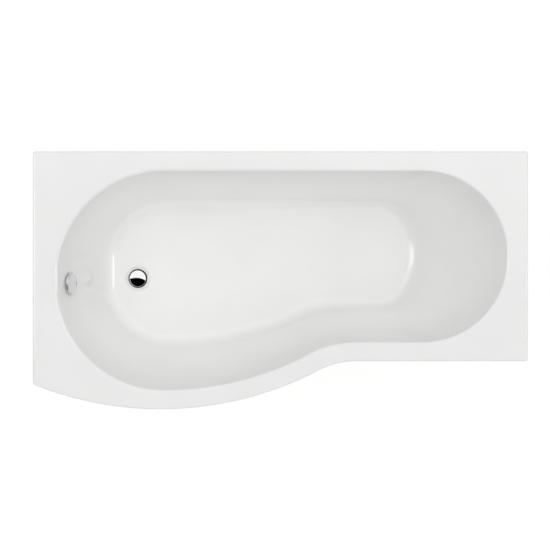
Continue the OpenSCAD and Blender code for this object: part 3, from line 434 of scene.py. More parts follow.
class NodeDesk:
    """Adds shader nodes to an emptied tree and joins them."""

    def __init__(self, tree: bpy.types.NodeTree) -> None:
        """Keeps the tree and empties it."""
        self.tree = tree
        tree.nodes.clear()

    def fill(self, socket: Socket, value: object) -> None:
        """Links an output to an input, or sets a constant on it.

        Args:
            socket: the input.
            value: an output or a constant.
        """
        if isinstance(value, Socket):
            self.tree.links.new(value, socket)
        else:
            socket.default_value = value

    def add(self, kind: str, sockets: Optional[dict] = None, **settings: object) -> bpy.types.Node:
        """Adds a node.

        Args:
            kind: its type, without "ShaderNode" before it.
            sockets: a constant or an output for each input.
            settings: its attributes.
        Returns:
            The node.
        """
        node = self.tree.nodes.new("ShaderNode" + kind)
        for key, value in settings.items():
            setattr(node, key, value)
        for key, value in (sockets or {}).items():
            self.fill(node.inputs[key], value)
        return node

    def out(self, kind: str, sockets: Optional[dict] = None, **settings: object) -> Socket:
        """Adds a node and gives its first output."""
        return self.add(kind, sockets, **settings).outputs[0]

    def math(self, operation: str, a: object, b: object = 0.0) -> Socket:
        """Output of a Math node."""
        return self.out("Math", {0: a, 1: b}, operation=operation)

    def weighed(self, a: Socket, share: float, b: Socket, other: float) -> Socket:
        """share * a + other * b."""
        return self.math("ADD", self.math("MULTIPLY", a, share), self.math("MULTIPLY", b, other))

    def spread(self, value: object, lo: float, hi: float, to_lo: object = 0.0,
               to_hi: object = 1.0) -> Socket:
        """Output of a clamped Map Range node."""
        return self.out("MapRange", {"Value": value, "From Min": lo, "From Max": hi,
                                     "To Min": to_lo, "To Max": to_hi}, clamp=True)

    def mixed(self, factor: Socket, a: object, b: object) -> Socket:
        """Colour mixed from a to b by a factor."""
        return self.add("Mix", {0: factor, 6: a, 7: b}, data_type="RGBA").outputs[2]

    def noise(self, place: Socket, scale: object, detail: float = 4.0,
              distortion: float = 0.0) -> Socket:
        """Value of a Noise Texture node."""
        return self.add("TexNoise", {"Vector": place, "Scale": scale, "Detail": detail,
                                     "Distortion": distortion}).outputs["Fac"]

    def cells(self, place: Socket, scale: object, channel: int = 0) -> tuple:
        """Random cells.

        Args:
            place, scale: their coordinates and scale.
            channel: which channel of their colours gives the tone.
        Returns:
            Each cell's tone, and the distance from its middle.
        """
        node = self.add("TexVoronoi", {"Vector": place, "Scale": scale, "Randomness": 1.0})
        tone = self.add("SeparateColor", {0: node.outputs["Color"]}).outputs[channel]
        return tone, node.outputs["Distance"]

    def glow(self, kind: str, strength: object) -> Socket:
        """Output of a white Emission or Background node."""
        return self.out(kind, {"Color": (1, 1, 1, 1), "Strength": strength})

    def pattern(self, pattern: "Pattern", scale: float, stretch: tuple = (1, 1, 1),
                amount: float = 1.0) -> tuple:
        """Mask and height of a pattern's node group."""
        node = self.add("Group", {"Scale": scale, "Stretch": stretch, "Amount": amount},
                        node_tree=pattern.group())
        return node.outputs["Mask"], node.outputs["Height"]


class Pattern(Enum):
    """The surface patterns that the finishes choose from.

    Each is a node group, built once, which takes Scale, Stretch and Amount, and gives Mask,
    which is the pattern times Amount, and Height. The method with its name draws it: it takes
    the group's desk, the stretched place and the scale, and gives the mask and the height.
    """

    MOTTLE = "mottle"
    GRAIN = "grain"
    CHIPS = "chips"
    STRANDS = "strands"
    SPANGLE = "spangle"
    BRUSHED = "brushed"
    WEAR = "wear"
    DUST = "dust"

    def group(self) -> bpy.types.NodeTree:
        """Makes the pattern's node group the first time that it is asked for.

        Returns:
            The node group.
        """
        made = bpy.data.node_groups.get(self.value)
        if made:
            return made
        made = bpy.data.node_groups.new(self.value, "ShaderNodeTree")
        for name, way, kind in (("Scale", "INPUT", "Float"), ("Stretch", "INPUT", "Vector"),
                                ("Amount", "INPUT", "Float"), ("Mask", "OUTPUT", "Float"),
                                ("Height", "OUTPUT", "Float")):
            made.interface.new_socket(name, in_out=way, socket_type="NodeSocket" + kind)
        desk = NodeDesk(made)
        inside, outside = made.nodes.new("NodeGroupInput"), made.nodes.new("NodeGroupOutput")
        place = desk.out("VectorMath", {
            0: desk.add("TexCoord").outputs["Object"], 1: inside.outputs["Stretch"]},
            operation="MULTIPLY")
        mask, height = getattr(self, self.value)(desk, place, inside.outputs["Scale"])
        mask = desk.math("MULTIPLY", mask, inside.outputs["Amount"])
        desk.fill(outside.inputs["Mask"], mask)
        desk.fill(outside.inputs["Height"], height)
        return made

    @staticmethod
    def mottle(desk: NodeDesk, place: Socket, scale: Socket) -> tuple:
        """Two noises, one eight times as fine: the coarse one colours, the fine one lifts."""
        fine = desk.noise(place, desk.math("MULTIPLY", scale, 8.0), 3.0)
        return desk.spread(desk.noise(place, scale), 0.3, 0.7), fine

    @staticmethod
    def grain(desk: NodeDesk, place: Socket, scale: Socket) -> tuple:
        """Growth rings as bands bent by noise, with short fibres over them.

        Args:
            desk, place, scale: the group's desk, its place and its scale.
        Returns:
            Mask and height.
        """
        bent = desk.add("TexWave", {"Vector": place, "Scale": scale, "Distortion": 7.0,
                                    "Detail": 3.0, "Detail Scale": 0.8},
                        wave_type="BANDS", bands_direction="DIAGONAL").outputs["Fac"]
        fibre = desk.noise(place, desk.math("MULTIPLY", scale, 9.0), 5.0)
        return desk.weighed(bent, 0.65, fibre, 0.35), desk.weighed(fibre, 0.8, bent, 0.2)

    @staticmethod
    def chips(desk: NodeDesk, place: Socket, scale: Socket) -> tuple:
        """Pressed flakes as random cells at two sizes, with dark lines between them.

        Args:
            desk, place, scale: the group's desk, its place and its scale.
        Returns:
            Mask and height.
        """
        big, _ = desk.cells(place, scale)
        small, gap = desk.cells(place, desk.math("MULTIPLY", scale, 2.7), 1)
        mask = desk.weighed(big, 0.55, small, 0.45)
        return mask, desk.math("SUBTRACT", mask, desk.math("MULTIPLY", gap, 0.6))

    @staticmethod
    def strands(desk: NodeDesk, place: Socket, scale: Socket) -> tuple:
        """Chopped strands: stretched noise in four directions, the brightest of them kept.

        Args:
            desk, place, scale: the group's desk, its place and its scale.
        Returns:
            Mask and height.
        """
        top = 0.0
        for k in range(4):
            turn = desk.out("Mapping", {"Vector": place, "Rotation": (0.9 * k, 1.3 * k, 0.8 * k),
                                        "Scale": (1.0, 9.0, 5.0)}, vector_type="POINT")
            layer = desk.noise(turn, desk.math("MULTIPLY", scale, 0.8 + 0.1 * k), 2.0, 0.4)
            top = desk.math("MAXIMUM", top, layer)
        top = desk.spread(top, 0.5, 0.78)
        pools = desk.noise(place, desk.math("MULTIPLY", scale, 0.35), 3.0)
        return desk.weighed(top, 0.6, pools, 0.4), desk.math("ADD", top, pools)

    @staticmethod
    def spangle(desk: NodeDesk, place: Socket, scale: Socket) -> tuple:
        """Zinc crystals: one random tone for each cell, softened by fine noise.

        Args:
            desk, place, scale: the group's desk, its place and its scale.
        Returns:
            Mask and height.
        """
        tone, _ = desk.cells(place, scale)
        fine = desk.noise(place, desk.math("MULTIPLY", scale, 6.0), 3.0)
        return desk.weighed(tone, 0.6, fine, 0.4), fine

    @staticmethod
    def brushed(desk: NodeDesk, place: Socket, scale: Socket) -> tuple:
        """Fine lines: noise drawn out by the stretch."""
        lines = desk.noise(place, scale, 6.0)
        return desk.spread(lines, 0.3, 0.7), lines

    @staticmethod
    def wear(desk: NodeDesk, place: Socket, scale: Socket) -> tuple:
        """Worn edges: how far the surface bulges, broken up by noise.

        Args:
            desk, place, scale: the group's desk, its place and its scale.
        Returns:
            Mask and height.
        """
        bulge = desk.spread(desk.add("NewGeometry").outputs["Pointiness"], 0.52, 0.60)
        ragged = desk.noise(place, scale)
        return desk.math("MULTIPLY", bulge, desk.spread(ragged, 0.35, 0.65)), ragged

    @staticmethod
    def dust(desk: NodeDesk, place: Socket, scale: Socket) -> tuple:
        """Settled dust: faces that look up, broken up by soft noise.

        Args:
            desk, place, scale: the group's desk, its place and its scale.
        Returns:
            Mask and height.
        """
        normal = desk.add("NewGeometry").outputs["Normal"]
        up = desk.spread(desk.add("SeparateXYZ", {0: normal}).outputs["Z"], 0.55, 0.98)
        patchy = desk.noise(place, scale, 6.0)
        return desk.math("MULTIPLY", up, desk.spread(patchy, 0.3, 0.8)), patchy


@dataclass(frozen=True)
class Finish:
    """One material: two colours mixed by a pattern, with roughness and bump from the same pattern.

    Colours are linear red, green and blue. Sizes of bump are in metres.
    """

    name: str
    slot: str
    colour: tuple
    second: tuple
    pattern: Pattern = Pattern.MOTTLE
    scale: float = 20.0
    stretch: tuple = (1.0, 1.0, 1.0)
    roughness: tuple = (0.4, 0.5)
    metallic: float = 0.0
    coat: float = 0.0
    coat_roughness: float = 0.05
    bump: float = 0.0
    bump_strength: float = 0.3
    wear: float = 0.0
    wear_scale: float = 220.0
    worn: tuple = (0.6, 0.6, 0.6)
    dust: float = 0.0
    dust_scale: float = 18.0
    dusty: tuple = (0.62, 0.58, 0.52)
    sheer: float = 0.0

    def material(self) -> bpy.types.Material:
        """Makes the finish's material the first time that it is asked for.

        Returns:
            The material.
        """
        made = bpy.data.materials.get(self.name)
        if made:
            return made
        made = bpy.data.materials.new(self.name)
        made.use_nodes = True
        desk = NodeDesk(made.node_tree)
        mask, height = desk.pattern(self.pattern, self.scale, self.stretch)
        colour = desk.mixed(mask, (*self.colour, 1), (*self.second, 1))
        rough = desk.spread(mask, 0.0, 1.0, *self.roughness)
        if self.wear:
            worn, _ = desk.pattern(Pattern.WEAR, self.wear_scale, amount=self.wear)
            colour = desk.mixed(worn, colour, (*self.worn, 1))
        if self.dust:
            dusty, _ = desk.pattern(Pattern.DUST, self.dust_scale, amount=self.dust)
            colour = desk.mixed(dusty, colour, (*self.dusty, 1))
            rough = desk.math("ADD", rough, desk.math("MULTIPLY", dusty, 0.3))
        shader = desk.add("BsdfPrincipled", {
            "Base Color": colour, "Roughness": rough, "Metallic": self.metallic,
            "Coat Weight": self.coat, "Coat Roughness": self.coat_roughness,
            "Subsurface Weight": self.sheer})
        if self.bump:
            desk.fill(shader.inputs["Normal"], desk.out("Bump", {
                "Height": height, "Distance": self.bump, "Strength": self.bump_strength}))
        desk.add("OutputMaterial", {"Surface": shader.outputs[0]})
        return made


ACRYLIC = Finish("white acrylic", "white_acrylic", (0.86, 0.86, 0.855), (0.88, 0.88, 0.875),
                 scale=6.0, roughness=(0.09, 0.12), bump=0.00006, bump_strength=0.04)
LAMINATE = Finish("glass-fibre laminate", "glassfibre", (0.62, 0.58, 0.40), (0.80, 0.77, 0.62),
                  Pattern.STRANDS, 34.0, roughness=(0.30, 0.55), bump=0.0012, bump_strength=0.8,
                  coat=0.15, coat_roughness=0.3)
CHIPBOARD = Finish("chipboard", "chipboard", (0.30, 0.19, 0.10), (0.66, 0.50, 0.31),
                   Pattern.CHIPS, 150.0, (1.0, 1.0, 2.2), (0.55, 0.8), bump=0.0005,
                   bump_strength=0.5, dust=0.3)
SOFTWOOD_X = Finish("softwood, grain along X", "timber", (0.50, 0.31, 0.15), (0.74, 0.54, 0.32),
                    Pattern.GRAIN, 26.0, (0.12, 1.6, 1.6), (0.55, 0.75), bump=0.0004,
                    bump_strength=0.5, wear=0.4, worn=(0.8, 0.66, 0.45))
SOFTWOOD_Y = replace(SOFTWOOD_X, name="softwood, grain along Y", stretch=(1.6, 0.12, 1.6))
PLYWOOD = Finish("plywood", "plywood", (0.42, 0.26, 0.13), (0.70, 0.50, 0.29), Pattern.GRAIN,
                 18.0, (0.25, 0.25, 16.0), (0.5, 0.75), bump=0.0003, bump_strength=0.5)
CHROME = Finish("polished chrome", "chrome", (0.93, 0.93, 0.935), (0.96, 0.96, 0.965), scale=9.0,
                roughness=(0.03, 0.06), metallic=1.0)
PLATED = Finish("plated plastic", "chrome", (0.63, 0.635, 0.64), (0.74, 0.745, 0.75), scale=160.0,
                roughness=(0.05, 0.12), metallic=1.0, bump=0.0001, bump_strength=0.25)
RUBBER = Finish("black rubber", "rubber", (0.018, 0.018, 0.018), (0.03, 0.03, 0.03), scale=60.0,
                roughness=(0.55, 0.75), bump=0.0001, dust=0.15)
POLYPROPYLENE = Finish("grey polypropylene", "grey_plastic", (0.075, 0.08, 0.088),
                       (0.095, 0.10, 0.11), scale=40.0, roughness=(0.38, 0.5), bump=0.00015,
                       wear=0.5, worn=(0.22, 0.22, 0.23))
ACETAL = Finish("ivory acetal", "ivory_plastic", (0.70, 0.66, 0.56), (0.76, 0.72, 0.62),
                scale=50.0, roughness=(0.3, 0.4), bump=0.0001)
HOSE = Finish("pale hose plastic", "hose_plastic", (0.56, 0.57, 0.58), (0.64, 0.65, 0.66),
              scale=30.0, roughness=(0.35, 0.5), bump=0.0001, sheer=0.05)
WIRE = Finish("spring wire", "spring_steel", (0.5, 0.5, 0.5), (0.62, 0.62, 0.62),
              Pattern.BRUSHED, 300.0, roughness=(0.25, 0.4), metallic=1.0)
BRASS = Finish("machined brass", "brass", (0.60, 0.42, 0.16), (0.72, 0.54, 0.25),
               Pattern.BRUSHED, 500.0, (1, 1, 6), (0.2, 0.35), metallic=1.0, bump=0.00004)
GALVANISED = Finish("galvanised sheet", "galvanised_steel", (0.36, 0.38, 0.40),
                    (0.62, 0.64, 0.66), Pattern.SPANGLE, 90.0, roughness=(0.32, 0.5),
                    metallic=0.9, bump=0.00008, wear=0.7, worn=(0.75, 0.76, 0.78), dust=0.2)
ZINC = Finish("bright zinc plate", "zinc_steel", (0.55, 0.57, 0.60), (0.68, 0.70, 0.74),
              Pattern.BRUSHED, 260.0, (1, 1, 3), (0.22, 0.36), metallic=1.0, bump=0.00003,
              wear=0.5, worn=(0.85, 0.85, 0.85))
PASSIVATED = Finish("yellow zinc plate", "screw_steel", (0.55, 0.42, 0.16), (0.70, 0.58, 0.30),
                    scale=120.0, roughness=(0.25, 0.4), metallic=1.0, wear=0.6,
                    worn=(0.8, 0.78, 0.7))
NYLON = Finish("black nylon", "black_plastic", (0.022, 0.022, 0.024), (0.034, 0.034, 0.036),
               scale=70.0, roughness=(0.42, 0.55), bump=0.00015, wear=0.4,
               worn=(0.09, 0.09, 0.09), dust=0.1)


def show(name: str, node: str, patches: Sequence[Patch], finish: Finish, body: str = "bath",
         crease: float = CREASE, holes: Sequence[tuple] = (), soft: float = 0) -> Piece:
    """Makes a piece, gives it its finish and body, and hides the CAD node that it replaces.

    Args:
        name: the piece's name.
        node: CAD node that it replaces.
        patches: its surfaces, in millimetres.
        finish: its finish.
        body: the body that carries it.
        crease: edges sharper than this, in degrees, stay crisp.
        holes: (placement, radius, half length) of holes to drill.
        soft: width of the round along sharp edges, if any.
    Returns:
        The object.
    """
    piece = make_piece(name, patches)
    if holes:
        drill(piece, holes, SOFT_HOLE_SIDES if soft else HOLE_SIDES)
    if soft:
        soften(piece, soft)
    mesh = piece.data
    mesh.polygons.foreach_set("use_smooth", np.ones(len(mesh.polygons), bool))
    mesh.set_sharp_from_angle(angle=math.radians(crease))
    mesh.materials.clear()
    mesh.materials.append(finish.material())
    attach(piece, body)
    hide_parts(node)
    log.info("%s: %d faces, rides on %s", name, len(mesh.polygons), body)
    return piece


# The bath

# Steps of the solid's outline along each part of the rim: the flat strip, a side, a corner, the
# straight front, and the hollow and the bow of the sweep. A quarter is a corner and its two sides.
STRIP, SIDE, CORNER, FRONT, HOLLOW, BOW = 2, 5, 2, 3, 6, 8
QUARTER = 2 * SIDE + CORNER


def blend(a: Sequence, b: Sequence, count: int) -> Array:
    """Points a + (b - a) i / count for i = 0 .. count - 1."""
    a, b = np.asarray(a, float), np.asarray(b, float)
    return a + (b - a) * (np.arange(count) / count)[:, None]


def sweep_arc(centre: Sequence, a: float, b: float, start: float, end: float,
              count: int) -> Array:
    """Points centre + (a cos t, b sin t), t in degrees from start up to, but without, end."""
    t = np.radians(start + (end - start) * np.arange(count) / count)
    return np.asarray(centre, float) + np.stack([a * np.cos(t), b * np.sin(t)], -1)


def parabola(p: Sequence, corner: Sequence, q: Sequence, count: int) -> Array:
    """Points (1-t)^2 p + 2 t (1-t) corner + t^2 q, t from 0 up to, but without, 1.

    Args:
        p, corner, q: where it starts, the corner that it rounds, and where it ends.
        count: how many points.
    Returns:
        The points.
    """
    t = (np.arange(count) / count)[:, None]
    p, corner, q = (np.asarray(v, float) for v in (p, corner, q))
    return (1 - t) ** 2 * p + 2 * t * (1 - t) * corner + t ** 2 * q


def between(first: Array, last: Array, steps: int, near: float = 1.5) -> list:
    """Rows between two rings. Two more lie near the rings, so that what is flat shades flat.

    Args:
        first, last: the rings, point by point.
        steps: how many rows lie evenly between them.
        near: distance from each ring to the row beside it.
    Returns:
        The rows, without the rings.
    """
    close = near / np.linalg.norm(last - first, axis=1, keepdims=True)
    close = np.minimum(close, 0.3 / (steps + 1))
    shares = (close, *np.linspace(0, 1, steps + 2)[1:-1], 1 - close)
    return [first + (last - first) * s for s in shares]


@dataclass(frozen=True)
class Outline:
    """Plan of the opening or of the floor: two round ends, a straight back, an S-shaped front."""

    end_x: float
    round_x: float
    head_round_x: float
    head_x: float
    back: float
    front: float
    bow: float
    sweep: float
    hollow: float

    @property
    def waste_y(self) -> float:
        """Middle of the round waste end."""
        return (self.back + self.bow) / 2

    @property
    def head_y(self) -> float:
        """Middle of the round head end."""
        return (self.back + self.front) / 2

    def inset(self, d: float) -> "Outline":
        """The outline with its sides moved inwards by d."""
        return replace(self, end_x=self.end_x + d, head_x=self.head_x - d, back=self.back - d,
                       front=self.front + d, bow=self.bow + d, hollow=self.hollow + d)


@dataclass
class BasinForm:
    """The forms that the tub and its laminate share.

    fall is in millimetres for each metre. fine is the number of points for each step of the
    solid's outline.
    """

    length: float = 1700
    wide: float = 885
    narrow: float = 720
    bow_apex: float = 439
    straight_front: float = 591
    hollow: float = 275
    height: float = 545
    corner: float = 9
    rim_back: float = 67
    rim_front: float = 65
    rim_waste: float = 79
    rim_head: float = 70
    skirt: float = 28
    edge: float = 6
    inner_edge: float = 12
    depth: float = 385
    lean_back: float = 92
    lean_bow: float = 148
    lean_front: float = 118
    lean_waste: float = 141
    lean_head: float = 295
    reach_waste: float = 372
    reach_head: float = 290
    floor_reach_waste: float = 225
    floor_reach_head: float = 133
    sweep_shift: float = 62
    floor_hollow: float = 255
    flat_half: float = 62
    cove: float = 55
    fall: float = 8
    acrylic: float = 5
    backing: float = 4
    backing_inset: float = 2
    dish: float = 3
    dish_flat: float = 4.5
    dish_slope: float = 6
    flange_r: float = 35
    waste: tuple = (-515.0, 5.5)
    fine: int = 8
    skirt_steps: int = 8
    edge_steps: int = 9
    wall_steps: int = 14
    cove_steps: int = 14

    def __post_init__(self) -> None:
        """Works out the sides, the bow's radius, both outlines and their points."""
        self.end_x, self.back_y = self.length / 2, self.wide / 2
        self.front_y = self.back_y - self.narrow
        self.apex_x = self.bow_apex - self.end_x
        self.sweep_x = self.end_x - self.straight_front
        dx, drop = self.sweep_x - self.apex_x, self.wide - self.narrow
        self.bow_radius = (dx * dx + drop * drop) / (2 * drop) - self.hollow
        self.sheet = self.acrylic + self.backing
        self.floor_z = self.height - self.depth
        self.dish_r = self.flange_r + self.dish_flat
        self.dish_lip = self.dish_r + self.dish_slope
        waste_x, head_x = self.rim_waste - self.end_x, self.end_x - self.rim_head
        self.opening = Outline(
            waste_x, waste_x + self.reach_waste, head_x - self.reach_head, head_x,
            self.back_y - self.rim_back, self.front_y + self.rim_front,
            self.rim_front - self.back_y, self.sweep_x, self.hollow + self.rim_front)
        o = self.opening
        waste_x, head_x = waste_x + self.lean_waste, head_x - self.lean_head
        self.floor = Outline(
            waste_x, waste_x + self.floor_reach_waste, head_x - self.floor_reach_head, head_x,
            o.back - self.lean_back, o.front + self.lean_front, o.bow + self.lean_bow,
            self.sweep_x - self.sweep_shift, self.floor_hollow)
        self.opening_ring, self.floor_ring = map(self.basin_ring, (self.opening, self.floor))

    def front_sweep(self, apex: float, bow: float, sweep: float, front: float,
                    hollow: float) -> Array:
        """S-shaped front of two arcs that meet: radii add up to (dx^2 + drop^2) / (2 drop).

        Args:
            apex, bow: x and y of the bow's foremost point.
            sweep, front: x and y where the straight front ends.
            hollow: radius of the hollow arc.
        Returns:
            Its points, from the straight front to the bow.
        """
        dx, drop, n = sweep - apex, front - bow, self.fine
        turn = 2 * math.degrees(math.atan(drop / dx))
        r = (dx * dx + drop * drop) / (2 * drop) - hollow
        return np.vstack([
            sweep_arc((sweep, front - hollow), hollow, hollow, 90, 90 + turn, HOLLOW * n),
            sweep_arc((apex, bow + r), r, r, turn - 90, -90, BOW * n)])

    def basin_ring(self, p: Outline) -> Array:
        """Points of the opening or the floor, clockwise from the flat strip at the waste end.

        Args:
            p: its outline.
        Returns:
            (n, 2) plan points.
        """
        n, waste, head = self.fine, (p.round_x, p.waste_y), (p.head_round_x, p.head_y)
        waste_a, waste_b = p.round_x - p.end_x, (p.back - p.bow) / 2
        head_a, head_b = p.head_x - p.head_round_x, (p.back - p.front) / 2
        flat = math.degrees(math.asin(self.flat_half / waste_b))
        x = p.round_x - waste_a * math.cos(math.radians(flat))
        return np.vstack([
            self.strip(x, p.waste_y),
            sweep_arc(waste, waste_a, waste_b, 180 - flat, 90, QUARTER * n),
            blend((p.round_x, p.back), (p.head_round_x, p.back), SIDE * n),
            sweep_arc(head, head_a, head_b, 90, -90, 2 * QUARTER * n),
            blend((p.head_round_x, p.front), (p.sweep, p.front), FRONT * n),
            self.front_sweep(p.round_x, p.bow, p.sweep, p.front, p.hollow),
            sweep_arc(waste, waste_a, waste_b, -90, flat - 180, QUARTER * n)])

    def strip(self, x: float, y: float) -> Array:
        """Points of the flat strip, whose middle is (x, y)."""
        return blend((x, y - self.flat_half), (x, y + self.flat_half), STRIP * self.fine)

    def bow_line_y(self, x: float, d: float) -> float:
        """Height in plan of the bow's arc, moved inwards by d, at x."""
        rise = math.sqrt((self.bow_radius - d) ** 2 - (x - self.apex_x) ** 2)
        return -self.back_y + self.bow_radius - rise

    def rim_ring(self, d: float) -> Array:
        """Points of the rim's outline moved inwards, which match basin_ring's one by one.

        Args:
            d: how far it is moved.
        Returns:
            (n, 2) plan points.
        """
        n, o, c = self.fine, self.opening, max(self.corner - d, 1)
        left, right = d - self.end_x, self.end_x - d
        back, front = self.back_y - d, self.front_y + d
        bow_end, bow_r = self.bow_line_y(left, d), self.bow_radius - d
        turn = math.degrees(math.asin((left + c - self.apex_x) / bow_r))

        def corner(p: tuple, a: tuple, k: tuple, b: tuple, q: tuple) -> list:
            """A side, a rounded corner and another side."""
            return [blend(p, a, SIDE * n), parabola(a, k, b, CORNER * n), blend(b, q, SIDE * n)]

        return np.vstack([
            self.strip(left, o.waste_y),
            *corner((left, o.waste_y + self.flat_half), (left, back - c), (left, back),
                    (left + c, back), (o.round_x, back)),
            blend((o.round_x, back), (o.head_round_x, back), SIDE * n),
            *corner((o.head_round_x, back), (right - c, back), (right, back), (right, back - c),
                    (right, o.head_y)),
            *corner((right, o.head_y), (right, front + c), (right, front), (right - c, front),
                    (o.head_round_x, front)),
            blend((o.head_round_x, front), (self.sweep_x, front), FRONT * n),
            self.front_sweep(self.apex_x, d - self.back_y, self.sweep_x, front, self.hollow + d),
            sweep_arc((self.apex_x, self.bow_radius - self.back_y), bow_r, bow_r, -90, turn - 90,
                      SIDE * n),
            parabola((left + c, self.bow_line_y(left + c, d)), (left, bow_end),
                     (left, bow_end + c), CORNER * n),
            blend((left, bow_end + c), (left, o.waste_y - self.flat_half), SIDE * n)])

    def fall_z(self, fall: float) -> Array:
        """Height of the floor under each column, rising away from the waste."""
        away = np.linalg.norm(self.floor_ring - self.waste, axis=1) - self.dish_lip
        return self.floor_z + np.maximum(away, 0) * fall / 1000

    def skirt_rows(self, depth: float) -> list:
        """The turned-down edge and its quarter round.

        Args:
            depth: how far the rows lie under the face.
        Returns:
            The rows, from the edge's foot to the flat of the rim.
        """
        rows, r = [level(self.rim_ring(depth), self.height - self.skirt)], self.edge - depth
        for t in np.linspace(0, math.pi / 2, self.skirt_steps):
            rows.append(level(self.rim_ring(self.edge - r * math.cos(t)),
                              self.height - self.edge + r * math.sin(t)))
        return rows

    def wall_rows(self, depth: float, fall: float) -> list:
        """Rows from the rim's inner edge to the foot of the walls.

        Each column lies in the upright plane through an opening point and its floor point. With
        turn = atan(height / lean), the edge is an arc of radius inner_edge - depth, the wall is
        straight and the cove is an arc of radius cove + depth.

        Args:
            depth: how far the rows lie under the face.
            fall: fall of the floor.
        Returns:
            The rows.
        """
        low, lean = self.fall_z(fall), self.floor_ring - self.opening_ring
        span = np.linalg.norm(lean, axis=1)
        turn = np.arctan2(self.height - low, span)
        edge_r, cove_r = self.inner_edge - depth, self.cove + depth

        def at(run: Array, z: Array) -> Array:
            """Points at a run from the opening and a height."""
            return level(self.opening_ring + lean / span[:, None] * run[:, None], z)

        edge = [at(-self.inner_edge * np.tan(turn / 2) + edge_r * np.sin(turn * s),
                   self.height - self.inner_edge + edge_r * np.cos(turn * s))
                for s in np.linspace(0, 1, self.edge_steps)]
        cove = [at(span + self.cove * np.tan(turn / 2) - cove_r * np.sin(turn * s),
                   low + self.cove - cove_r * np.cos(turn * s))
                for s in np.linspace(1, 0, self.cove_steps)]
        return edge + between(edge[-1], cove[0], self.wall_steps) + cove

    def dish_ring(self, r: float, z: float) -> Array:
        """A round ring about the waste, whose columns point at the floor's columns."""
        way = self.floor_ring - self.waste
        return level(self.waste + way / np.linalg.norm(way, axis=1, keepdims=True) * r, z)

    def overflow_wall(self, depth: float) -> tuple:
        """The middle of the flat strip.

        Args:
            depth: how far below the rim.
        Returns:
            x of the wall there, and its lean in radians.
        """
        run = self.floor_ring[0][0] - self.opening_ring[0][0]
        drop = self.height - self.fall_z(self.fall)[self.fine]
        return self.opening_ring[0][0] + depth * run / drop, math.atan2(run, drop)


@dataclass
class Tub:
    """The acrylic tub and the glass-fibre laminate under it."""

    form: BasinForm
    overflow: Placement
    waste_hole: float = 26
    overflow_hole: float = 23
    rim_steps: int = 3
    floor_steps: int = 8
    dish_steps: int = 6
    bond: float = 0.15
    waves: int = 26
    wave_turn: float = 0.045
    wave_size: tuple = (0.1, 0.3)
    waved_cove: int = 4
    middle: tuple = (0, 0, 400)
    roughness: float = 0.7
    seed: int = 7

    def __post_init__(self) -> None:
        """Works out the hole for the overflow."""
        self.holes = [(self.overflow, self.overflow_hole, 3 * self.form.sheet)]

    def rows(self, depth: float, fall: float, dish: float) -> list:
        """Rows of one face from the rim's inner edge to the waste hole.

        The dish's slope is s^2 (3 - 2 s), s running from 0 at its lip to 1 at its foot.

        Args:
            depth: how far the rows lie under the basin's face.
            fall: fall of the floor.
            dish: depth of the dish about the waste.
        Returns:
            The rows.
        """
        form, walls = self.form, self.form.wall_rows(depth, fall)
        z = form.floor_z - depth
        floors = between(walls[-1], form.dish_ring(form.dish_lip, z), self.floor_steps)
        slope = [form.dish_ring(form.dish_lip - form.dish_slope * s,
                                z - dish * (s * s * (3 - 2 * s)))
                 for s in np.linspace(0, 1, self.dish_steps)]
        return [*walls, *floors, *slope, form.dish_ring(self.waste_hole, z - dish)]

    def acrylic(self) -> Piece:
        """The moulded sheet, whose face and underside meet at its edge and at the waste hole.

        Returns:
            The tub's object.
        """
        form, sides = self.form, []
        for depth in (0.0, form.acrylic):
            skirt, body = form.skirt_rows(depth), self.rows(depth, form.fall, form.dish)
            sides.append(skirt + between(skirt[-1], body[0], self.rim_steps) + body)
        sheet = Patch(np.stack(sides[0] + sides[1][::-1]), wrap_rows=True)
        return show("tub", "acrylic_tub", [sheet], ACRYLIC, crease=50, holes=self.holes)

    def laminate(self) -> None:
        """The sprayed backing. Its underside waves on the walls and is level under the floor.

        The wave is |sum of a_i sin(k_i . p + phase_i)| along the normal, with random a, k and
        phase. It fades out towards the rim and the floor.
        """
        form, faces = self.form, []
        ring = form.rim_ring(form.acrylic + form.backing_inset)
        for depth, fall, dish in ((form.acrylic + self.bond, form.fall, form.dish),
                                  (form.sheet, 0, 0)):
            rim = level(ring, form.height - depth)
            faces.append(np.stack([rim, *self.rows(depth, fall, dish)]))
        top, under = faces
        rng = np.random.default_rng(self.seed)
        wave = np.zeros(under.shape[:2])
        for _ in range(self.waves):
            k = rng.normal(size=3) * self.wave_turn
            wave += np.sin(under @ k + rng.uniform(0, TURN)) * rng.uniform(*self.wave_size)
        normal = np.cross(np.gradient(under, axis=1), np.gradient(under, axis=0))
        normal /= np.maximum(np.linalg.norm(normal, axis=2, keepdims=True), 1e-9)
        normal *= np.sign(np.sum(normal * (under - self.middle), axis=2, keepdims=True))
        first, count = 1 + form.edge_steps, form.wall_steps + 2 + self.waved_cove
        fade = np.zeros(len(under))
        fade[first:first + count] = np.sin(np.linspace(0, math.pi, count)) ** 0.5
        under += normal * (np.abs(wave) * fade[:, None] * self.roughness)[..., None]
        sheet = Patch(np.concatenate([top, under[::-1]]), wrap_rows=True)
        show("laminate", "glassfibre_backing", [sheet], LAMINATE, crease=50, holes=self.holes)


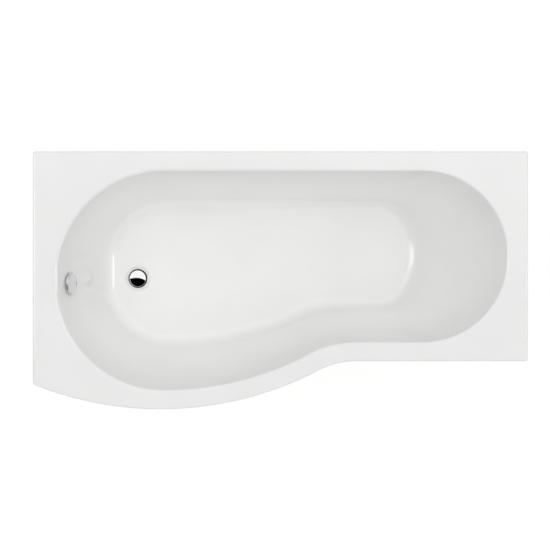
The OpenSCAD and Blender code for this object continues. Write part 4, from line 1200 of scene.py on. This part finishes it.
@dataclass
class Waste:
    """The sprung plug waste. Heights are above the floor of its dish."""

    form: BasinForm
    seal: float = 1.5
    lip: float = 1.8
    step: float = 0.7
    dish: float = 0.8
    throat: float = 20.5
    arm_z: float = -12.6
    arm_reach: tuple = (10.0, 14.0, 18.0, 21.5)
    arm_turns: tuple = (30, 150, 270)
    spigot: float = 24
    spigot_length: float = 34
    cap_r: float = 29.5
    cap_rise: float = 3.8
    cap_edge: float = 1.6
    travel: float = 8
    plug_seal: float = 2
    seat_gap: float = 0.3
    gasket: float = 4
    bowl_z: float = -56
    outlet_z: float = -80
    inlet_z: float = -44
    inlet_end: float = 50
    spring_r: float = 4.4
    spring_foot: float = -29
    spring_top: float = -6.8
    wire: float = 1
    coils: int = 6
    coil_steps: int = 24
    steps: int = 96

    def __post_init__(self) -> None:
        """Works out where the pieces stand."""
        dish_z = self.form.floor_z - self.form.dish
        self.at = Placement((*self.form.waste, dish_z))
        self.inlet = Placement(self.at.shifted(self.inlet_z).origin, (0, 1, 0), (0, 0, 1),
                               (-1, 0, 0))
        self.hose_end = self.inlet.shifted(self.inlet_end).origin
        self.gasket_z = self.form.floor_z - self.form.sheet - self.gasket - dish_z
        self.top = self.seal + self.lip
        self.seat = self.top - self.step
        self.cap_z = self.seat + self.plug_seal + self.seat_gap + self.travel

    def flange(self) -> None:
        """Chrome flange and threaded spigot, with three arms that hold the plug's socket."""
        r, low, top = self.form.flange_r, -self.spigot_length, self.top + self.dish
        ring = lathe([(self.throat, low, 0.4), (self.spigot, low, 0.4), (self.spigot, self.seal),
                      (r, self.seal, 0.4), (r, top, 0.6), (r - 0.7, top, 0.3),
                      (28.8, self.seat, 0.8), (self.throat + 3, self.seat, 1.2),
                      (self.throat, self.seat - 3, 1.2)], self.steps, self.at)
        parts = [ring, lathe(box(7.6, -16, 11, -9), self.steps, self.at, 0.5)]
        arm = rounded(box(-1.5, -2.9, 1.5, 2.9), 0.5)
        for t in map(math.radians, self.arm_turns):
            way = np.array([math.cos(t), math.sin(t), 0])
            path = np.array(self.arm_reach)[:, None] * way + (0, 0, self.arm_z)
            parts.append(carried(arm, self.at.put(path)))
        show("chrome_flange", "waste_flange", parts, CHROME, crease=30)

    def cap(self) -> None:
        """Domed plug: z = edge + rise - R + sqrt(R^2 - r^2), rolled over at its edge."""
        dome_r = (self.cap_r ** 2 + self.cap_rise ** 2) / (2 * self.cap_rise)
        r = np.linspace(0, self.cap_r - 1.2, 28)
        z = self.cap_edge + self.cap_rise - dome_r + np.sqrt(dome_r ** 2 - r ** 2)
        under = rounded([(r[-1], z[-1]), (self.cap_r, z[-1] - 0.45, 0.9), (self.cap_r, 0.1, 0.4),
                         (self.cap_r - 0.6, 0, 0.3), (7, 0), (7, -3, 0.4), (3.1, -3, 0.4),
                         (3.1, -0.4), (0, -0.4)], closed=False)
        profile = np.vstack([np.column_stack([r, z]), under[1:]])
        cap = turned(*profile.T, self.steps, self.at.shifted(self.cap_z), closed=False)
        show("plug", "plug_cap", [cap], CHROME, "plug", crease=35)

    def rubber(self) -> None:
        """Rubber rings: the plug's own seal has a lip, the others are flat, with soft edges."""
        for name, node, body, z, radius, corners in (
                ("plug_ring", "plug_seal", "plug", self.cap_z - self.plug_seal, 0.3,
                 [(24, 0.3), (27, 0.1), (28.6, 0, 0.5), (28.5, 2), (24, 2)]),
                ("flange_ring", "flange_seal", "bath", 0, 0.4, box(26, 0, 33.5, self.seal)),
                ("floor_ring", "under_gasket", "bath", self.gasket_z, 0.8,
                 box(24.3, 0, 38, self.gasket))):
            ring = lathe(corners, self.steps, self.at.shifted(z), radius)
            show(name, node, [ring], RUBBER, body)

    def body(self) -> None:
        """Plastic body: collar, ribbed bowl, the trap's thread and the overflow's inlet."""
        top, bowl, low = self.gasket_z, self.bowl_z, self.outlet_z
        rib = 0.9 * np.clip(np.cos(12 * circle(self.steps)) * 6 - 5, 0, 1)
        thread = threaded(23.9, 1.3, 3.2, low + 1.2, bowl - 3, self.steps, 8)
        plain = lobed([
            (29.2, bowl - 2), (30, bowl - 1.2), (30, bowl + 4), (30, bowl + 7, 1),
            (30, top - 8, 1), (30, top - 6), (30, top - 4.6), (30.6, top - 4), (37.6, top - 4),
            (38, top - 3.6), (38, top - 0.4), (37.6, top), (24.6, top), (24.1, top - 0.5),
            (24.1, -34.4), (26, -34.4), (26, bowl + 4), (25, bowl + 3), (20.9, bowl + 3),
            (20.4, bowl + 2.5), (20.4, low + 0.5), (20.9, low), (22.6, low)], rib)
        shell = turned(*(np.vstack(pair) for pair in zip(thread, plain)), self.steps, self.at)
        fillet = lathe([(9, 29), (14.5, 29), (12.2, 31.2, 1.5), (11.4, 34, 0.5), (9, 34)], 48,
                       self.inlet)
        pipe = hose_tail(self.inlet, 27, 31.5, self.inlet_end)
        show("waste_shell", "waste_body", [shell, pipe, fillet], POLYPROPYLENE, crease=35)

    def click(self) -> None:
        """The barrel, and the plug's rod with its grooved piston, about the spring."""
        barrel = lathe([(0, -29), (5.5, -29), (5.5, -2.5), (3.3, -2.5, 0.3), (3.3, -0.5, 0.3),
                        (7.5, -0.5, 0.8), (7.5, -6.5, 0.3), (9.5, -6.5, 0.5), (9.5, -9, 0.3),
                        (7.5, -9), (7.5, -31, 0.8), (0, -31)], 48, self.at, closed=False)
        show("click_case", "click_barrel", [barrel], ACETAL)
        self.spring()
        cap = self.cap_z
        rod = lathe([(0, -6.8), (5.2, -6.8, 0.4), (5.2, -5.6), (4.7, -5.3), (4.7, -4.3),
                     (5.2, -4.0), (5.2, -2.8, 0.4), (3, -2.8, 0.3), (3, cap - 4),
                     (2.6, cap - 3.8), (2.6, cap - 3.2), (3, cap - 3), (3, cap, 0.3), (0, cap)],
                    48, self.at, 0.1, closed=False)
        show("rod", "plug_spindle", [rod], BRASS, "plug")

    def spring(self) -> None:
        """Coil of round wire, its end turns close together. The real spring shortens as the plug
        goes down; this one is drawn at one length.

        Turn k / coil_steps lies at (r cos 2 pi turn, r sin 2 pi turn).
        """
        foot, top, wire, lead = self.spring_foot, self.spring_top, self.wire, self.coil_steps
        last, climb = self.coils * lead, top - foot - 4 * wire
        k = np.arange(last + 1)
        z = foot + wire / 2 + np.interp(k, [0, lead, last - lead, last], [
            0, 1.5 * wire, 1.5 * wire + climb, 3 * wire + climb])
        t, ring = TURN * k / lead, circle(10)
        line = np.column_stack([self.spring_r * np.cos(t), self.spring_r * np.sin(t), z])
        section = np.column_stack([np.cos(ring), np.sin(ring)]) * wire / 2
        spring = show("spring", "click_spring", [carried(section, self.at.put(line))], WIRE)
        [v / 1000 for v in self.at.put(np.array([0, 0, foot]))]
        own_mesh(spring)

    def build(self) -> None:
        """All the pieces of the waste."""
        self.flange()
        self.cap()
        self.rubber()
        self.body()
        self.click()


@dataclass
class Overflow:
    """The overflow's cover and what stands behind the wall. Heights are off the basin's face."""

    form: BasinForm
    hose_end: Sequence
    depth: float = 90
    y: float = -12.5
    cover_r: float = 38
    gap: float = 3.5
    cover_depth: float = 10
    wall: float = 2.5
    gasket: float = 3
    tail_drop: float = 18
    tail_end: float = 47
    stud_length: float = 45
    nut_reach: float = 15
    cuff: tuple = (10, 25, 26)
    swing_top: float = 150
    swing_bottom: float = 75
    hose_r: float = 11
    hose_bore: float = 9.5
    rib: float = 2
    ribs: int = 39
    rib_steps: int = 10
    hose_steps: int = 32
    inner_step: int = 4
    nut_steps: int = 128
    steps: int = 96

    def __post_init__(self) -> None:
        """Finds the overflow's place on the leaning flat strip, and the elbow's pipe."""
        x, lean = self.form.overflow_wall(self.depth)
        down, into = ((math.sin(lean), 0, -math.cos(lean)), (math.cos(lean), 0, math.sin(lean)))
        self.at = Placement((x, self.y, self.form.height - self.depth), down, (0, 1, 0), into)
        self.face = -self.form.sheet - self.gasket
        self.pipe = Placement(self.at.shifted(self.face - self.tail_drop).origin, self.at.y,
                              into, down)
        self.tail = self.pipe.shifted(self.tail_end)

    def cover(self) -> None:
        """Chrome cup with a slightly crowned face, a rounded shoulder and a boss for the stud."""
        top, r, w, low = self.gap + self.cover_depth, self.cover_r, self.wall, self.gap
        outer = rounded([(0, top), (12, top - 0.1, 60), (r - 15, top - 0.5, 60),
                         (r - 6, top - 1.2, 12), (r - 1.5, top - 3, 3), (r, top - 5.5, 2),
                         (r, low)], steps=8, closed=False)
        inner = rounded([(r, low), (r - w, low, 0.4), (r - w, top - 6, 2), (r - 8, top - w, 2),
                         (8, top - w), (8, 0.5, 0.4), (4.1, 0.5, 0.4), (4.1, top - w - 2),
                         (0, top - w - 2)], closed=False)
        cup = turned(*np.vstack([outer, inner[1:]]).T, self.steps, self.at, closed=False)
        show("overflow_cup", "overflow_cover", [cup], PLATED, crease=35)

    def behind(self) -> None:
        """Threaded stud, gasket and the elbow that catches the water behind the wall."""
        face, end = self.face, self.gap + self.cover_depth - self.wall - 2.3
        low = end - self.stud_length
        stud = with_thread([(0, low), (3.2, low)], threaded(4, 0.5, 1.25, low + 1, end - 1),
                           [(3.2, end), (0, end)], self.at)
        show("stud", "overflow_stud", [stud], BRASS)
        ring = lathe(box(23, face, 31, face + self.gasket), 64, self.at, 0.6)
        show("gasket", "overflow_gasket", [ring], RUBBER)
        bowl = lathe([(0, face - 29), (24, face - 29, 2), (24, face, 0.4), (31, face, 0.6),
                      (31, face - 4), (28, face - 4), (27, face - 6), (27, face - 32, 3),
                      (0, face - 32)], 72, self.at, 1, closed=False)
        hub = lathe([(4.1, face - 28), (4.1, face - 6, 0.4), (8, face - 6, 0.8), (8, face - 30)],
                    40, self.at)
        parts = [bowl, hub, hose_tail(self.pipe, 24.5, 28.5, self.tail_end)]
        section = rounded([(-1, 0), (1, 0, 0.4), (1, 3.6, 0.4), (-1, 3.6)])
        for t in circle(8)[1::2]:
            way = np.array([math.cos(t), math.sin(t), 0])
            path = 26.5 * way + [(0, 0, face - 4 - d) for d in (0, 8, 14)]
            up = self.at.put(way) - self.at.origin
            parts.append(carried(section, self.at.put(path), up))
        show("elbow", "overflow_elbow", parts, POLYPROPYLENE)

    def nut(self, end: str, at: Placement) -> None:
        """Hand nut with eight lugs: r = 16.5 + 1.5 pulse(8 t), the pulse fading near the lip.

        Args:
            end: which end of the hose it is on.
            at: its frame. The lip points along Z.
        """
        pulse = 1.5 * np.clip((np.cos(8 * circle(self.nut_steps)) - 0.72) * 9, 0, 1)
        rows = lobed([(11.6, 0.6), (12.2, 0), (16, 0, 0.6), (16.5, 0.6, 1), (16.5, 14, 1),
                      (16.3, 15, 0.5), (16.2, 15.6), (16, 18.5), (14.6, 20), (11.6, 20),
                      (11.1, 19.5), (11.1, 17), (11.6, 17)], pulse)
        show(f"nut_{end}", f"hose_nut_{end}", [turned(*rows, self.nut_steps, at)], POLYPROPYLENE,
             crease=30)

    def hose(self) -> None:
        """Ribbed hose along a cubic Bezier curve, and its nuts.

        The radius is hose_r + rib sin^1.4(pi ribs t), and hose_r on the cuffs at both ends.
        """
        start, down = np.array(self.tail.origin), np.array(self.at.x)
        stop, ahead = np.array(self.hose_end), np.array([1.0, 0, 0])
        near, far, gap = self.cuff
        a, d = start + down * gap, stop - ahead * gap
        b, c = a + down * self.swing_top, d - ahead * self.swing_bottom
        t = np.linspace(0, 1, self.ribs * self.rib_steps + 1)[:, None]
        curve = a * (1 - t) ** 3 + 3 * b * (1 - t) ** 2 * t + 3 * c * (1 - t) * t * t + d * t ** 3
        line = np.vstack([start, start + down * near, start + down * far, curve,
                          stop - ahead * far, stop - ahead * near, stop])
        radii = np.full(len(line), float(self.hose_r))
        radii[3:-3] += self.rib * np.sin(np.pi * self.ribs * t[:, 0] % np.pi) ** 1.4
        _, side, rise = along(line, (0, 1, 0))
        turn = circle(self.hose_steps)[None, :, None]
        rim = np.cos(turn) * side[:, None] + np.sin(turn) * rise[:, None]
        outer = line[:, None] + radii[:, None, None] * rim
        inner = (line[:, None] + self.hose_bore * rim)[::-self.inner_step]
        show("hose", "overflow_hose", [Patch(np.concatenate([outer, inner]), wrap_rows=True)],
             HOSE, crease=60)
        self.nut("top", Placement(start - down * self.nut_reach, self.tail.x, self.tail.y, down))
        self.nut("bottom", Placement(stop + ahead * self.nut_reach, (0, 1, 0), (0, 0, -1),
                                     (-1, 0, 0)))

    def build(self) -> None:
        """All the pieces of the overflow."""
        self.cover()
        self.behind()
        self.hose()


@dataclass
class Timber:
    """The board under the floor and the rails under the rim."""

    form: BasinForm
    thickness: float = 16
    inset: float = 22
    gap: float = 80
    width: float = 40
    depth: float = 22
    end_gap: float = 4
    bevel: float = 1.2
    hole_r: float = 2.1
    hole_depth: float = 12

    def __post_init__(self) -> None:
        """Works out the heights and insets."""
        self.board_z = self.form.floor_z - self.form.sheet - self.thickness
        self.rail_z = self.form.height - self.form.sheet - self.depth
        self.edge = self.form.acrylic + self.form.backing_inset
        self.turn_x = self.form.end_x - self.edge - self.width - self.end_gap

    def board(self, screws: Sequence[tuple]) -> None:
        """Chipboard cut to the floor's outline, straight beside the waste.

        Args:
            screws: plan points of its screws.
        """
        ring = self.form.basin_ring(self.form.floor.inset(self.inset))
        start = self.form.waste[0] + self.gap
        kept = ring[ring[:, 0] > start]
        (_, low), (_, high) = kept[-1], kept[0]
        edge = rounded([kept[-1], (start, low), (start, high), kept[0]], 3, closed=False)
        board = slab(np.vstack([kept, edge[1:-1]]), self.board_z, self.board_z + self.thickness,
                     0.5)
        show("floor_board", "base_board", [board], CHIPBOARD,
             holes=bores(screws, self.board_z, self.hole_r, self.hole_depth))

    def rail(self, side: str, p: Sequence, q: Sequence, finish: Finish,
             screws: Sequence[tuple] = ()) -> None:
        """Straight planed rail with rounded edges.

        Args:
            side: which side of the bath it is on.
            p, q: plan points where its centre line ends.
            finish: its finish.
            screws: plan points of its screws.
        """
        half, low = self.width / 2, self.rail_z
        section = rounded(box(-half, low, half, low + self.depth), self.bevel, 3)
        part = carried(section, np.array([(*p, 0), (*q, 0)], float), chamfer=0.8)
        show(f"{side}_rail", f"rail_{side}", [part], finish,
             holes=bores(screws, low, self.hole_r, self.hole_depth))

    def bow(self) -> None:
        """Plywood sawn to the rim's bow: its section spans two insets of the rim's outline."""
        n = self.form.fine
        first = (STRIP + 3 * QUARTER + SIDE + FRONT) * n
        part = slice(first, first + (HOLLOW + BOW + SIDE) * n + 1, 2)
        outer, inner = (self.form.rim_ring(d)[part, None]
                        for d in (self.edge, self.edge + self.width))
        section = rounded(box(0, 0, self.width, self.depth), 0.9, 3)
        plan = outer + (inner - outer) * (section[:, 0] / self.width)[None, :, None]
        z = np.broadcast_to(self.rail_z + section[:, 1], plan.shape[:2])
        rail = Patch(np.concatenate([plan, z[..., None]], -1), fill_ends=True)
        show("bow_rail", "rail_bow", [rail], PLYWOOD)

    def build(self, board_screws: Sequence[tuple], rail_screws: Sequence[tuple]) -> None:
        """The board and all five rails.

        Args:
            board_screws: plan points of the screws in the board.
            rail_screws: plan points of the screws in the back rail.
        """
        form, half, right = self.form, self.width / 2, self.form.end_x - self.edge
        back, front = form.back_y - self.edge - half, form.front_y + self.edge + half
        low = form.bow_line_y(self.width - right, self.edge) + self.width + self.end_gap
        self.board(board_screws)
        self.rail("back", (-self.turn_x, back), (self.turn_x, back), SOFTWOOD_X, rail_screws)
        self.rail("front", (form.sweep_x + self.end_gap, front), (self.turn_x, front), SOFTWOOD_X)
        for side, x, start in (("waste_end", half - right, low),
                               ("head_end", right - half, front - half)):
            self.rail(side, (x, start), (x, back + half), SOFTWOOD_Y)
        self.bow()


@dataclass
class Legs:
    """Two bent channels and a pressed plate under the board, their screws, and five feet.

    Feet 1 and 2 stand under the first channel, 3 and 4 under the second, 5 under the plate.
    """

    timber: Timber
    width: float = 40
    height: float = 25
    steel: float = 2
    end: float = 26
    feet: tuple = ((-350, 330.5), (-350, -328.906), (350, 330.5), (350, -185.5), (0, 94.5))
    inset: float = 60
    plate_half: float = 42
    plate_screw: float = 30
    reach: float = 43
    lift: float = 10
    stud_r: float = 5
    stud_z: float = 8
    pad_r: float = 24
    pad_height: float = 16
    screw_length: float = 11
    screw_hole: float = 2.4
    hole_depth: float = 6
    nut_flats: float = 17
    nut_height: float = 8
    pad_steps: int = 96

    def __post_init__(self) -> None:
        """Works out the heights and where the screws stand."""
        floor, q, s = self.timber.form.floor, self.width / 4, self.plate_screw
        self.board_z = self.timber.board_z
        self.low_z = self.board_z - self.height
        self.channel_screws = [
            [(x + side, y) for y in (front + self.inset, floor.back - self.inset)
             for side in (-q, q)]
            for (x, _), front in ((self.feet[0], floor.bow), (self.feet[2], floor.front))]
        x, y = self.feet[4]
        self.plate_screws = [(x + u, y + v) for u in (-s, s) for v in (-s, s)]
        self.screws = sum(self.channel_screws, []) + self.plate_screws

    def holes(self, feet: Sequence[tuple], z: float, screws: Sequence[tuple]) -> list:
        """Holes for the studs of feet at a height, and for screws under the board."""
        return (bores(feet, z, self.stud_r + 0.5, self.hole_depth)
                + bores(screws, self.board_z, self.screw_hole, self.hole_depth))

    def folded(self, edge: float, web: float) -> Array:
        """U section folded from sheet, its folds rounded inside and out.

        Args:
            edge: height of its legs' edges.
            web: height of its web's outer face.
        Returns:
            Its outline.
        """
        w, t = self.width / 2, self.steel
        inside = web + math.copysign(t, edge - web)
        return rounded([(-w, edge), (-w, web, 3), (w, web, 3), (w, edge), (w - t, edge),
                        (w - t, inside, 1.2), (t - w, inside, 1.2), (t - w, edge)], steps=4)

    def channel(self, k: int, end: str) -> None:
        """Channel, open downwards, that reaches past its two feet.

        Args:
            k: its number.
            end: which end of the bath it is near.
        """
        feet = self.feet[2 * k:2 * k + 2]
        (x, high), (_, low) = feet
        path = np.array([(x, low - self.end, self.board_z), (x, high + self.end, self.board_z)])
        show(f"{end}_channel", f"channel_{end}", [carried(self.folded(-self.height, 0), path)],
             GALVANISED, holes=self.holes(feet[::-1], self.board_z, self.channel_screws[k]),
             soft=0.35)

    def plate(self) -> None:
        """Square plate with a cup folded down from it for the middle foot."""
        x, y = self.feet[4]
        h, w, t, top = self.plate_half, self.width / 2, self.steel, self.board_z
        outer, inner = rounded(box(-h, -h, h, h), 4, 4), rounded(box(-w, t - w, w, w - t), 1, 4)
        rows = [level(ring, z) for ring, z in ((outer, top), (inner, top), (inner, top - t),
                                               (outer, top - t))]
        plate = Patch(np.stack(rows) + (x, y, 0), wrap_rows=True)
        cup = carried(self.folded(-0.4, -self.height),
                      np.array([(x - w, y, top), (x + w, y, top)]))
        show("foot_plate", "centre_plate", [plate, cup], GALVANISED,
             holes=self.holes(self.feet[4:], self.low_z, self.plate_screws), soft=0.3)

    def foot(self, k: int) -> None:
        """Threaded stud with a hexagon collar, and its nylon pad with a grip rim and rings.

        Args:
            k: its number.
        """
        at, low, r = Placement((*self.feet[k], 0)), self.stud_z, self.pad_r
        top = self.board_z + (self.reach if k < 4 else -self.steel - self.lift - 1)
        thread = threaded(self.stud_r, 0.9, 1.5, low + 0.5, top - 0.8, 20, 5)
        stud = with_thread([(0, low), (3.9, low)], thread, [(3.9, top), (0, top)], at)
        collar = hex_nut(self.nut_flats * math.cos(math.pi / 6), 3.5, 5,
                         at.shifted(self.pad_height))
        body = f"foot_{k + 1}"
        show(f"threaded_foot_{k + 1}", f"stud_{k + 1}", [stud, collar], ZINC, body, crease=30)
        grip = np.clip(np.cos(24 * circle(self.pad_steps)) * 3, -1, 1) * 0.5 + 0.5
        rows = lobed([
            (0, 1.2), (r - 6, 1.2), (r - 5, 0), (r - 1, 0), (r, 1), (r, 1.5, 1), (r, 4, 1),
            (r - 0.7, 5, 0.6), (r - 2, 6), (r - 4, 6.5), (r - 5, 7), (r - 7, 7.4), (r - 8, 7.2),
            (r - 9, 7.9), (r - 11, 8.7), (12, 9.2), (10.8, 11), (10.1, 15.4), (9.5, 16),
            (5.6, 16), (5.1, 15.5), (5.1, 8), (0, 8)], -0.7 * grip)
        pad = turned(*rows, self.pad_steps, at, closed=False)
        show(f"foot_pad_{k + 1}", f"pad_{k + 1}", [pad], NYLON, body, crease=30)

    def nuts(self) -> None:
        """Lock nuts above and below the steel at each foot."""
        high = [self.board_z] * 4 + [self.low_z + self.steel]
        for side, drop in (("upper", 0), ("lower", self.steel + self.nut_height)):
            nuts = [hex_nut(self.nut_flats, self.stud_r + 0.3, self.nut_height,
                            Placement((*place, z - drop))) for place, z in zip(self.feet, high)]
            show(f"nuts_{side}", f"lock_nuts_{side}", nuts, ZINC, crease=25)

    def build(self) -> None:
        """All the pieces of the legs."""
        for k, end in enumerate(("waste_end", "head_end")):
            self.channel(k, end)
        self.plate()
        screws = wood_screws(self.screws, self.board_z - self.steel,
                             self.steel + self.screw_length)
        show("board_screws", "channel_screws", screws, PASSIVATED, crease=30)
        for k in range(len(self.feet)):
            self.foot(k)
        self.nuts()


@dataclass
class WallBrackets:
    """Steel angles under the back rail that fix the rim to the wall."""

    timber: Timber
    places: tuple = (-520, 0, 520)
    width: float = 30
    drop: float = 44
    steel: float = 2
    hole_up: float = 14
    hole_r: float = 2.75
    screw_length: float = 11
    screw_hole: float = 2.4
    hole_depth: float = 5

    def __post_init__(self) -> None:
        """Works out where the screws stand."""
        self.wall_y = self.timber.form.back_y
        y, q = self.wall_y - self.timber.edge - self.timber.width / 2, self.width / 4
        self.screws = [(x + side, y) for x in self.places for side in (-q, q)]

    def bracket(self, k: int) -> None:
        """Angle folded from sheet, with one hole for the wall and two for the rail.

        Args:
            k: its number.
        """
        x, half, t, z = self.places[k], self.width / 2, self.steel, self.timber.rail_z
        depth = self.timber.width + self.timber.edge
        section = rounded([(depth, 0), (0, 0, 3.2), (0, -self.drop), (t, -self.drop),
                           (t, -t, 1.4), (depth, -t)])
        path = np.array([(x - half, self.wall_y, z), (x + half, self.wall_y, z)])
        wall = Placement((x, self.wall_y - 1, z - self.drop + self.hole_up), (1, 0, 0),
                         (0, 0, 1), (0, -1, 0))
        holes = [(wall, self.hole_r, self.hole_depth)]
        holes += bores(self.screws[2 * k:2 * k + 2], z - 1, self.screw_hole, self.hole_depth)
        show(f"angle_{k + 1}", f"wall_bracket_{k + 1}", [carried(section, path)], GALVANISED,
             holes=holes, soft=0.35)

    def build(self) -> None:
        """All the brackets and their screws."""
        for k in range(len(self.places)):
            self.bracket(k)
        screws = wood_screws(self.screws, self.timber.rail_z - self.steel,
                             self.steel + self.screw_length)
        show("rail_screws", "bracket_screws", screws, PASSIVATED, crease=30)


@dataclass
class Studio:
    """Camera, floor, lamps and world. Lengths are in metres.

    suns holds each sky lamp's direction and strength. boxes holds each softbox's name, place,
    target, size and power.
    """

    centre: tuple = (-0.01887, 0.01835)
    above: float = 7.0
    rim: float = 0.545
    metres_per_pixel: float = 0.00343
    pixels: int = 550
    sensor: float = 36.0
    view_end: float = 60
    floor_half: float = 9.0
    floor_z: float = -0.0003
    floor_glow: float = 0.90
    floor_shadow: tuple = (0.14, 0.14, 0.14, 1)
    floor_colour: tuple = (0.7, 0.7, 0.7, 1)
    ambient: float = 0.17
    flag_tilt: float = 0.144
    flag_bend: float = 0.48
    flag_side: tuple = (0.029, 0.045)
    flag_height: tuple = (0.35, 0.55)
    grey_from: tuple = (-0.75, -0.55)
    grey: float = 0.45
    sun_width: float = 50
    suns: tuple = (((0, 0, 1), 0.89), ((0.7, 0, 0.7), 0.58), ((-0.7, 0, 0.7), 0.31),
                   ((0, 0.7, 0.7), 0.74), ((0, -0.7, 0.7), 0.68))
    boxes: tuple = (
        ("box_right", (4.45, 0.0105, 7.62), (-0.6, 0.0105, 0.17), (1.0, 0.19), 13.0),
        ("box_left", (-4.57, 0.35, 7.62), (0.476, 0.09, 0.165), (5.4, 1.5), 115.0))

    def camera(self) -> None:
        """Looks straight down. The lens makes one pixel 3.43 mm wide at the rim."""
        data = bpy.data.cameras.new("camera")
        data.sensor_width, data.clip_end = self.sensor, self.view_end
        data.lens = self.sensor * self.above / (self.metres_per_pixel * self.pixels)
        eye = stand("camera", data)
        eye.location = (*self.centre, self.rim + self.above)
        bpy.context.scene.camera = eye

    def floor(self) -> None:
        """Pale floor that shows white to the camera and in reflections, and keeps a soft shadow.

        From below it is clear, so that the underside of the bath can be seen.
        """
        mesh, half = bpy.data.meshes.new("studio_floor"), self.floor_half
        mesh.from_pydata([(*p, self.floor_z) for p in box(-half, -half, half, half)], [],
                         [(0, 1, 2, 3)])
        floor = stand("studio_floor", mesh)
        material = bpy.data.materials.new("studio floor")
        material.use_nodes = True
        desk = NodeDesk(material.node_tree)
        path = desk.add("LightPath").outputs
        seen = desk.math("MAXIMUM", path["Is Camera Ray"], path["Is Glossy Ray"])
        seen = desk.math("MAXIMUM", seen, path["Is Transmission Ray"])
        pale = desk.out("BsdfDiffuse", {"Color": self.floor_shadow})
        plain = desk.out("BsdfDiffuse", {"Color": self.floor_colour})
        both = desk.out("AddShader", {0: desk.glow("Emission", self.floor_glow), 1: pale})
        above = desk.out("MixShader", {0: seen, 1: plain, 2: both})
        under = desk.add("NewGeometry").outputs["Backfacing"]
        last = desk.out("MixShader", {0: under, 1: above, 2: desk.out("BsdfTransparent")})
        desk.add("OutputMaterial", {"Surface": last})
        mesh.materials.append(material)

    def world(self) -> None:
        """White to the camera. Gloss sees white, grey at -X, with one dark flag overhead.

        The flag lies on the -Y side, where y + tilt x + bend x^2 falls below its edge.
        """
        world = bpy.data.worlds.new("studio")
        bpy.context.scene.world = world
        world.use_nodes = True
        desk = NodeDesk(world.node_tree)
        path = desk.add("LightPath").outputs
        way = desk.add("SeparateXYZ", {0: desk.add("TexCoord").outputs["Generated"]}).outputs
        across = way["X"]
        bent = desk.weighed(across, self.flag_tilt, desk.math("MULTIPLY", across, across),
                            self.flag_bend)
        side = desk.spread(desk.math("ADD", way["Y"], bent), *self.flag_side)
        shade = desk.math("MAXIMUM", side, desk.spread(way["Z"], *self.flag_height, 1.0, 0.0))
        gloss = desk.math("MULTIPLY", shade, desk.spread(across, *self.grey_from, self.grey, 1.0))
        first = desk.out("MixShader", {
            0: path["Is Glossy Ray"], 1: desk.glow("Background", self.ambient),
            2: desk.glow("Background", gloss)})
        clear = desk.math("MAXIMUM", path["Is Camera Ray"], path["Is Transmission Ray"])
        last = desk.out("MixShader", {0: clear, 1: first, 2: desk.glow("Background", 1.0)})
        desk.add("OutputWorld", {"Surface": last})

    @staticmethod
    def lamp(name: str, kind: str, place: Sequence, target: Sequence) -> Piece:
        """A lamp at a place, facing a target, unseen by the camera.

        Args:
            name: the lamp's name.
            kind: Blender's name for this kind of lamp.
            place: where it stands.
            target: the point that it faces.
        Returns:
            The lamp's object.
        """
        lamp = stand(name, bpy.data.lights.new(name, kind))
        z = np.array(place, float) - np.array(target, float)
        z /= np.linalg.norm(z)
        x = np.cross((0, 1, 0.001), z)
        x /= np.linalg.norm(x)
        rows = np.column_stack([x, np.cross(z, x), z, place]).tolist()
        lamp.matrix_world = Matrix(rows + [[0, 0, 0, 1]])
        lamp.visible_camera = False
        return lamp

    def softboxes(self, tub: Piece) -> None:
        """Two wide boxes whose reflections make bright lines where the end walls meet the floor.

        They light nothing: their light ends where a path has already left a dull surface.

        Args:
            tub: the only piece that reflects them.
        """
        glossy = bpy.data.collections.new("box_lit")
        glossy.objects.link(tub)
        for name, place, target, size, power in self.boxes:
            box_lamp = self.lamp(name, "AREA", place, target)
            data = box_lamp.data
            data.shape, data.size, data.size_y, data.energy = "RECTANGLE", *size, power
            box_lamp.visible_diffuse = False
            box_lamp.light_linking.receiver_collection = glossy
            data.use_nodes = True
            desk = NodeDesk(data.node_tree)
            dull = desk.add("LightPath").outputs["Diffuse Depth"]
            glow = desk.glow("Emission", desk.math("LESS_THAN", dull, 0.5))
            desk.add("OutputLight", {"Surface": glow})

    def sky(self) -> None:
        """Broad, soft lights from above, which leave the reflections to the world."""
        for k, (way, strength) in enumerate(self.suns):
            sun = self.lamp(f"sky_{k}", "SUN", [5 * v for v in way], (0, 0, 0))
            sun.data.angle, sun.data.energy = math.radians(self.sun_width), strength
            sun.visible_glossy = False

    def build(self) -> None:
        """Everything that isn't the bath, apart from the softboxes."""
        self.camera()
        self.floor()
        self.world()
        self.sky()


def main() -> None:
    """Builds the studio, then the bath from the tub downwards."""
    logging.basicConfig(level=logging.INFO, format="%(message)s")
    scene = bpy.context.scene
    scene.view_settings.view_transform = "Standard"
    studio = Studio()
    studio.build()
    form = BasinForm()
    waste = Waste(form)
    overflow = Overflow(form, waste.hose_end)
    tub = Tub(form, overflow.at)
    studio.softboxes(tub.acrylic())
    tub.laminate()
    waste.build()
    overflow.build()
    timber = Timber(form)
    legs, brackets = Legs(timber), WallBrackets(timber)
    timber.build(legs.screws, brackets.screws)
    legs.build()
    brackets.build()


if __name__ == "__main__":
    main()
